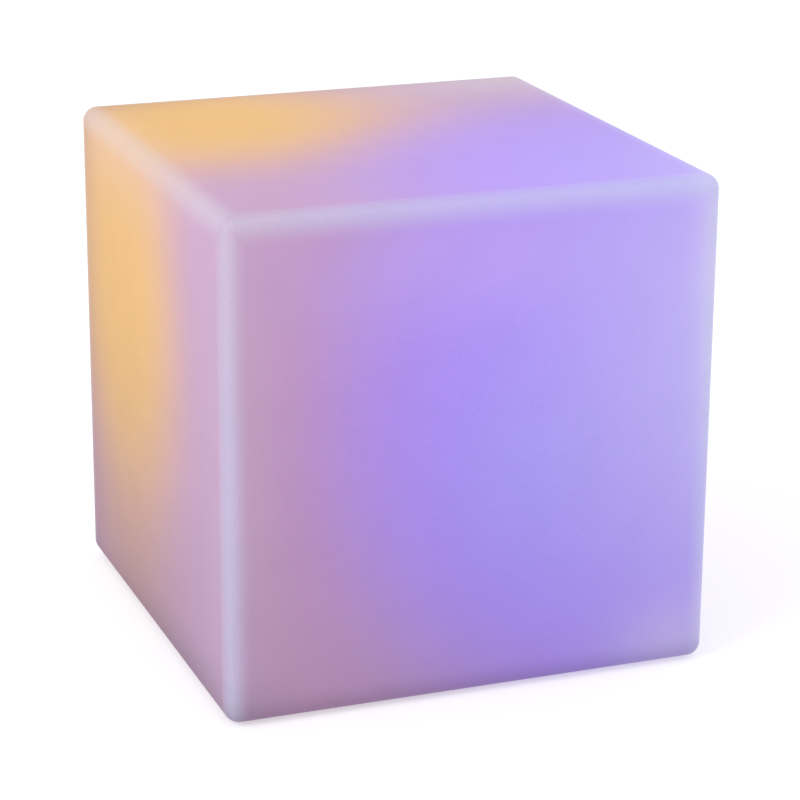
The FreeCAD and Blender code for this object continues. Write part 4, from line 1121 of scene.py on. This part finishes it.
def wire_finish(name, number, colours):
    """Insulated wires told apart by colour: the number picks one, from 0 to the last."""
    finish = Finish(name)
    ramp = finish.add("ShaderNodeValToRGB")
    ramp.color_ramp.interpolation = "CONSTANT"
    stops = ramp.color_ramp.elements
    while len(stops) < len(colours):
        stops.new(1.0)
    for index, colour in enumerate(colours):
        stops[index].position = index / len(colours)
        stops[index].color = colour
    finish.put(ramp.inputs[0], finish.sum("DIVIDE", number(finish), float(len(colours))))
    grain = finish.noise(600, detail=2)
    shade = finish.span(grain, *NOISE_RANGE, 0.9, 1.05)
    finish.surface(Base_Color=finish.vector("SCALE", ramp.outputs[0], shade))
    finish.gloss(grain, 0.34, 0.5)
    return finish.material


# How far apart the lamps' wires lie in the plate's hole, and at the connector
LEAD_PITCHES = (1.3 * MM, 2.2 * MM)
RED, BLACK = linear(186, 44, 40), linear(40, 40, 44)
LAMP_WIRES = (linear(228, 228, 224), RED, linear(52, 140, 70), linear(48, 84, 176), BLACK)


def battery_lead_number(finish):
    """Half for the wire left of the connector's middle, one and a half for the one right of it."""
    middle, _ = middle_of(*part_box("battery_connector"))
    return finish.sum("ADD", finish.sum("GREATER_THAN", finish.axes()["X"], middle), 0.5)


def lamp_lead_number(finish):
    """Which of the five wires fanned out from the plate's hole to the connector a place is on.

    At a share s of the way, the wires' middle is s * connector's middle, and their pitch is a mix
    of the two pitches. The number is the way from that middle in pitches, plus two and a half.
    """
    x, y, _ = finish.axes()
    across, along = middle_of(*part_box("led_connector"))
    share = finish.span(x, 0, across)
    pitch = finish.span(share, 0, 1, *LEAD_PITCHES)
    away = finish.sum("SUBTRACT", y, finish.sum("MULTIPLY", share, along))
    return finish.sum("ADD", finish.sum("DIVIDE", away, pitch), len(LAMP_WIRES) / 2)


PLAIN_VARY = 0.06


def plain_finish(name, colour, scale=120, roughness=0.5, metallic=0.0):
    """A solid finish whose colour, gloss and surface vary a little with a noise."""
    finish = Finish(name)
    grain = finish.noise(scale)
    dark = (*(share * (1 - PLAIN_VARY) for share in colour[:3]), 1.0)
    light = (*(min(1.0, share * (1 + PLAIN_VARY)) for share in colour[:3]), 1.0)
    finish.surface(Base_Color=finish.mix(grain, dark, light), Metallic=metallic)
    finish.gloss(grain, roughness - PLAIN_VARY, roughness + PLAIN_VARY)
    finish.relief(grain, strength=0.1, depth=0.3 * MM)
    return finish.material


# The material slots with a plain finish
PLAIN_FINISHES = {
    "brass": dict(colour=linear(214, 178, 104), roughness=0.3, metallic=1.0, scale=300),
    "silicone": dict(colour=linear(206, 206, 204), roughness=0.6),
    "black_plastic": dict(colour=linear(44, 44, 48), roughness=0.5, scale=500),
    "tinned": dict(colour=linear(205, 205, 200), roughness=0.3, metallic=1.0),
    "connector": dict(colour=linear(232, 226, 206), roughness=0.5),
    "pad": dict(colour=linear(170, 184, 192), roughness=0.8),
    "white_board": dict(colour=linear(236, 236, 232), roughness=0.4),
    "lamp": dict(colour=linear(244, 226, 168), roughness=0.3),
    "dome": dict(colour=linear(240, 240, 242), roughness=0.35),
}


def dress_nodes(finishes):
    """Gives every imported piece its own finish, or else that of its material slot."""
    for row in frame["record"]["subparts"]:
        finish = finishes.get(row["node"]) or finishes.get(row["material_slot"])
        for slot in frame["nodes"][row["node"]].material_slots:
            if finish:
                slot.material = finish


# ---------------- studio

CAMERA_AZIMUTH = -20.8
CAMERA_ELEVATION = 18.4
CAMERA_ROLL = 0.40
CAMERA_DISTANCE = 5.8
CAMERA_ASIDE = 0.0302
CAMERA_LIFT = -0.0479
LENS = 127.1
SENSOR = 36
CLIP_END = 50
FLOOR = -0.2 * MM
FLOOR_REACH = 30
FLOOR_GREY = 0.8
FLOOR_GLOW = 0.45
SURROUND_LIGHT = 0.72
LAMP_PLACE = Vector((-2.3, -1.1, 1.7))
LAMP_SIZE = 1.6
LAMP_POWER = 24


def shown_rays(nodes, links):
    """1 on rays from the camera, in reflections and through clear pieces; 0 for light on things."""
    path = nodes.new("ShaderNodeLightPath")
    shown = path.outputs["Is Camera Ray"]
    for kind in ("Is Glossy Ray", "Is Transmission Ray"):
        larger = nodes.new("ShaderNodeMath")
        larger.operation = "MAXIMUM"
        links.new(shown, larger.inputs[0])
        links.new(path.outputs[kind], larger.inputs[1])
        shown = larger.outputs[0]
    return shown


def make_camera():
    """Camera on a sphere round the cube's middle, slid a little in its own picture plane."""
    azimuth, elevation = math.radians(CAMERA_AZIMUTH), math.radians(CAMERA_ELEVATION)
    level = math.cos(elevation)
    back = Vector((math.sin(azimuth) * level, -math.cos(azimuth) * level, math.sin(elevation)))
    right = Vector((math.cos(azimuth), math.sin(azimuth), 0))
    up = back.cross(right)
    slid = back * CAMERA_DISTANCE + right * CAMERA_ASIDE + up * CAMERA_LIFT
    place = Vector((0, 0, HALF)) + slid * SIDE
    roll = Matrix.Rotation(math.radians(CAMERA_ROLL), 3, back)
    turned = Matrix((roll @ right, roll @ up, back)).transposed()
    camera = placed("camera", bpy.data.cameras.new("camera"))
    camera.data.lens = LENS
    camera.data.sensor_width = SENSOR
    camera.data.clip_end = CLIP_END
    camera.matrix_world = Matrix.Translation(place) @ turned.to_4x4()
    bpy.context.scene.camera = camera


def make_floor():
    """Wide pale floor: white to the camera but for the cube's shadow, and clear from below."""
    corners = [(x * FLOOR_REACH, y * FLOOR_REACH, FLOOR)
               for x, y in ((-1, -1), (1, -1), (1, 1), (-1, 1))]
    mesh = bpy.data.meshes.new("floor")
    mesh.from_pydata(corners, [], [(0, 1, 2, 3)])
    finish = Finish("floor_pale")
    finish.surface(Base_Color=(FLOOR_GREY, FLOOR_GREY, FLOOR_GREY, 1), Roughness=0.9)
    shown = shown_rays(finish.nodes, finish.links)
    glow = finish.sum("MULTIPLY", shown, FLOOR_GLOW)
    finish.surface(Emission_Color=(1, 1, 1, 1), Emission_Strength=glow)
    both = finish.add("ShaderNodeMixShader")
    sides = (finish.add("ShaderNodeNewGeometry").outputs["Backfacing"], finish.shader.outputs[0],
             finish.add("ShaderNodeBsdfTransparent").outputs[0])
    for socket, value in zip(both.inputs, sides):
        finish.put(socket, value)
    finish.put(finish.nodes["Material Output"].inputs["Surface"], both.outputs[0])
    mesh.materials.append(finish.material)
    placed("floor", mesh)


def make_light():
    """Even white surroundings and one large soft lamp above."""
    world = bpy.data.worlds.new("surroundings")
    bpy.context.scene.world = world
    world.use_nodes = True
    nodes, links = world.node_tree.nodes, world.node_tree.links
    strength = nodes.new("ShaderNodeMapRange")
    strength.inputs["To Min"].default_value = SURROUND_LIGHT
    strength.inputs["To Max"].default_value = 1.0
    links.new(shown_rays(nodes, links), strength.inputs["Value"])
    background = nodes["Background"]
    background.inputs["Color"].default_value = (1, 1, 1, 1)
    links.new(strength.outputs[0], background.inputs["Strength"])
    lamp = placed("soft_lamp", bpy.data.lights.new("soft_lamp", "AREA"))
    lamp.data.shape = "DISK"
    lamp.data.size = LAMP_SIZE
    lamp.data.energy = LAMP_POWER
    lamp.location = LAMP_PLACE
    facing = Vector((0, 0, HALF)) - LAMP_PLACE
    lamp.rotation_euler = facing.to_track_quat("-Z", "Y").to_euler()


bpy.context.scene.view_settings.view_transform = "Standard"
make_camera()
make_floor()
make_light()
finishes = {slot: plain_finish(f"{slot}_finish", **look) for slot, look in PLAIN_FINISHES.items()}
finishes |= {"shell": skin_finish(), "foot_rubber": rubber_finish(), "steel": steel_finish(),
             "module_plastic": flange_finish(), "button": button_finish(),
             "plug_silicone": plug_finish(), "clear_plastic": window_finish(),
             "board_green": board_finish(), "radio_module": radio_finish(),
             "cell_wrap": cell_finish(), "aluminium": plate_finish(),
             "rgb_leds": lamps_finish("colour_lamps", *COLOUR_RING),
             "white_leds": lamps_finish("white_lamps", *WHITE_RING),
             "battery_leads": wire_finish("battery_wires", battery_lead_number, (RED, BLACK)),
             "led_leads": wire_finish("lamp_wires", lamp_lead_number, LAMP_WIRES)}
dress_nodes(finishes)
make_skin(finishes["shell"])
make_bosses(finishes["shell"])
make_feet(finishes["foot_rubber"])
make_flange_screws(finishes["steel"])
make_button(finishes["button"])
make_plug(finishes["plug_silicone"])
make_neck(finishes["plug_silicone"])
make_anchor(finishes["plug_silicone"])
make_window(finishes["clear_plastic"])
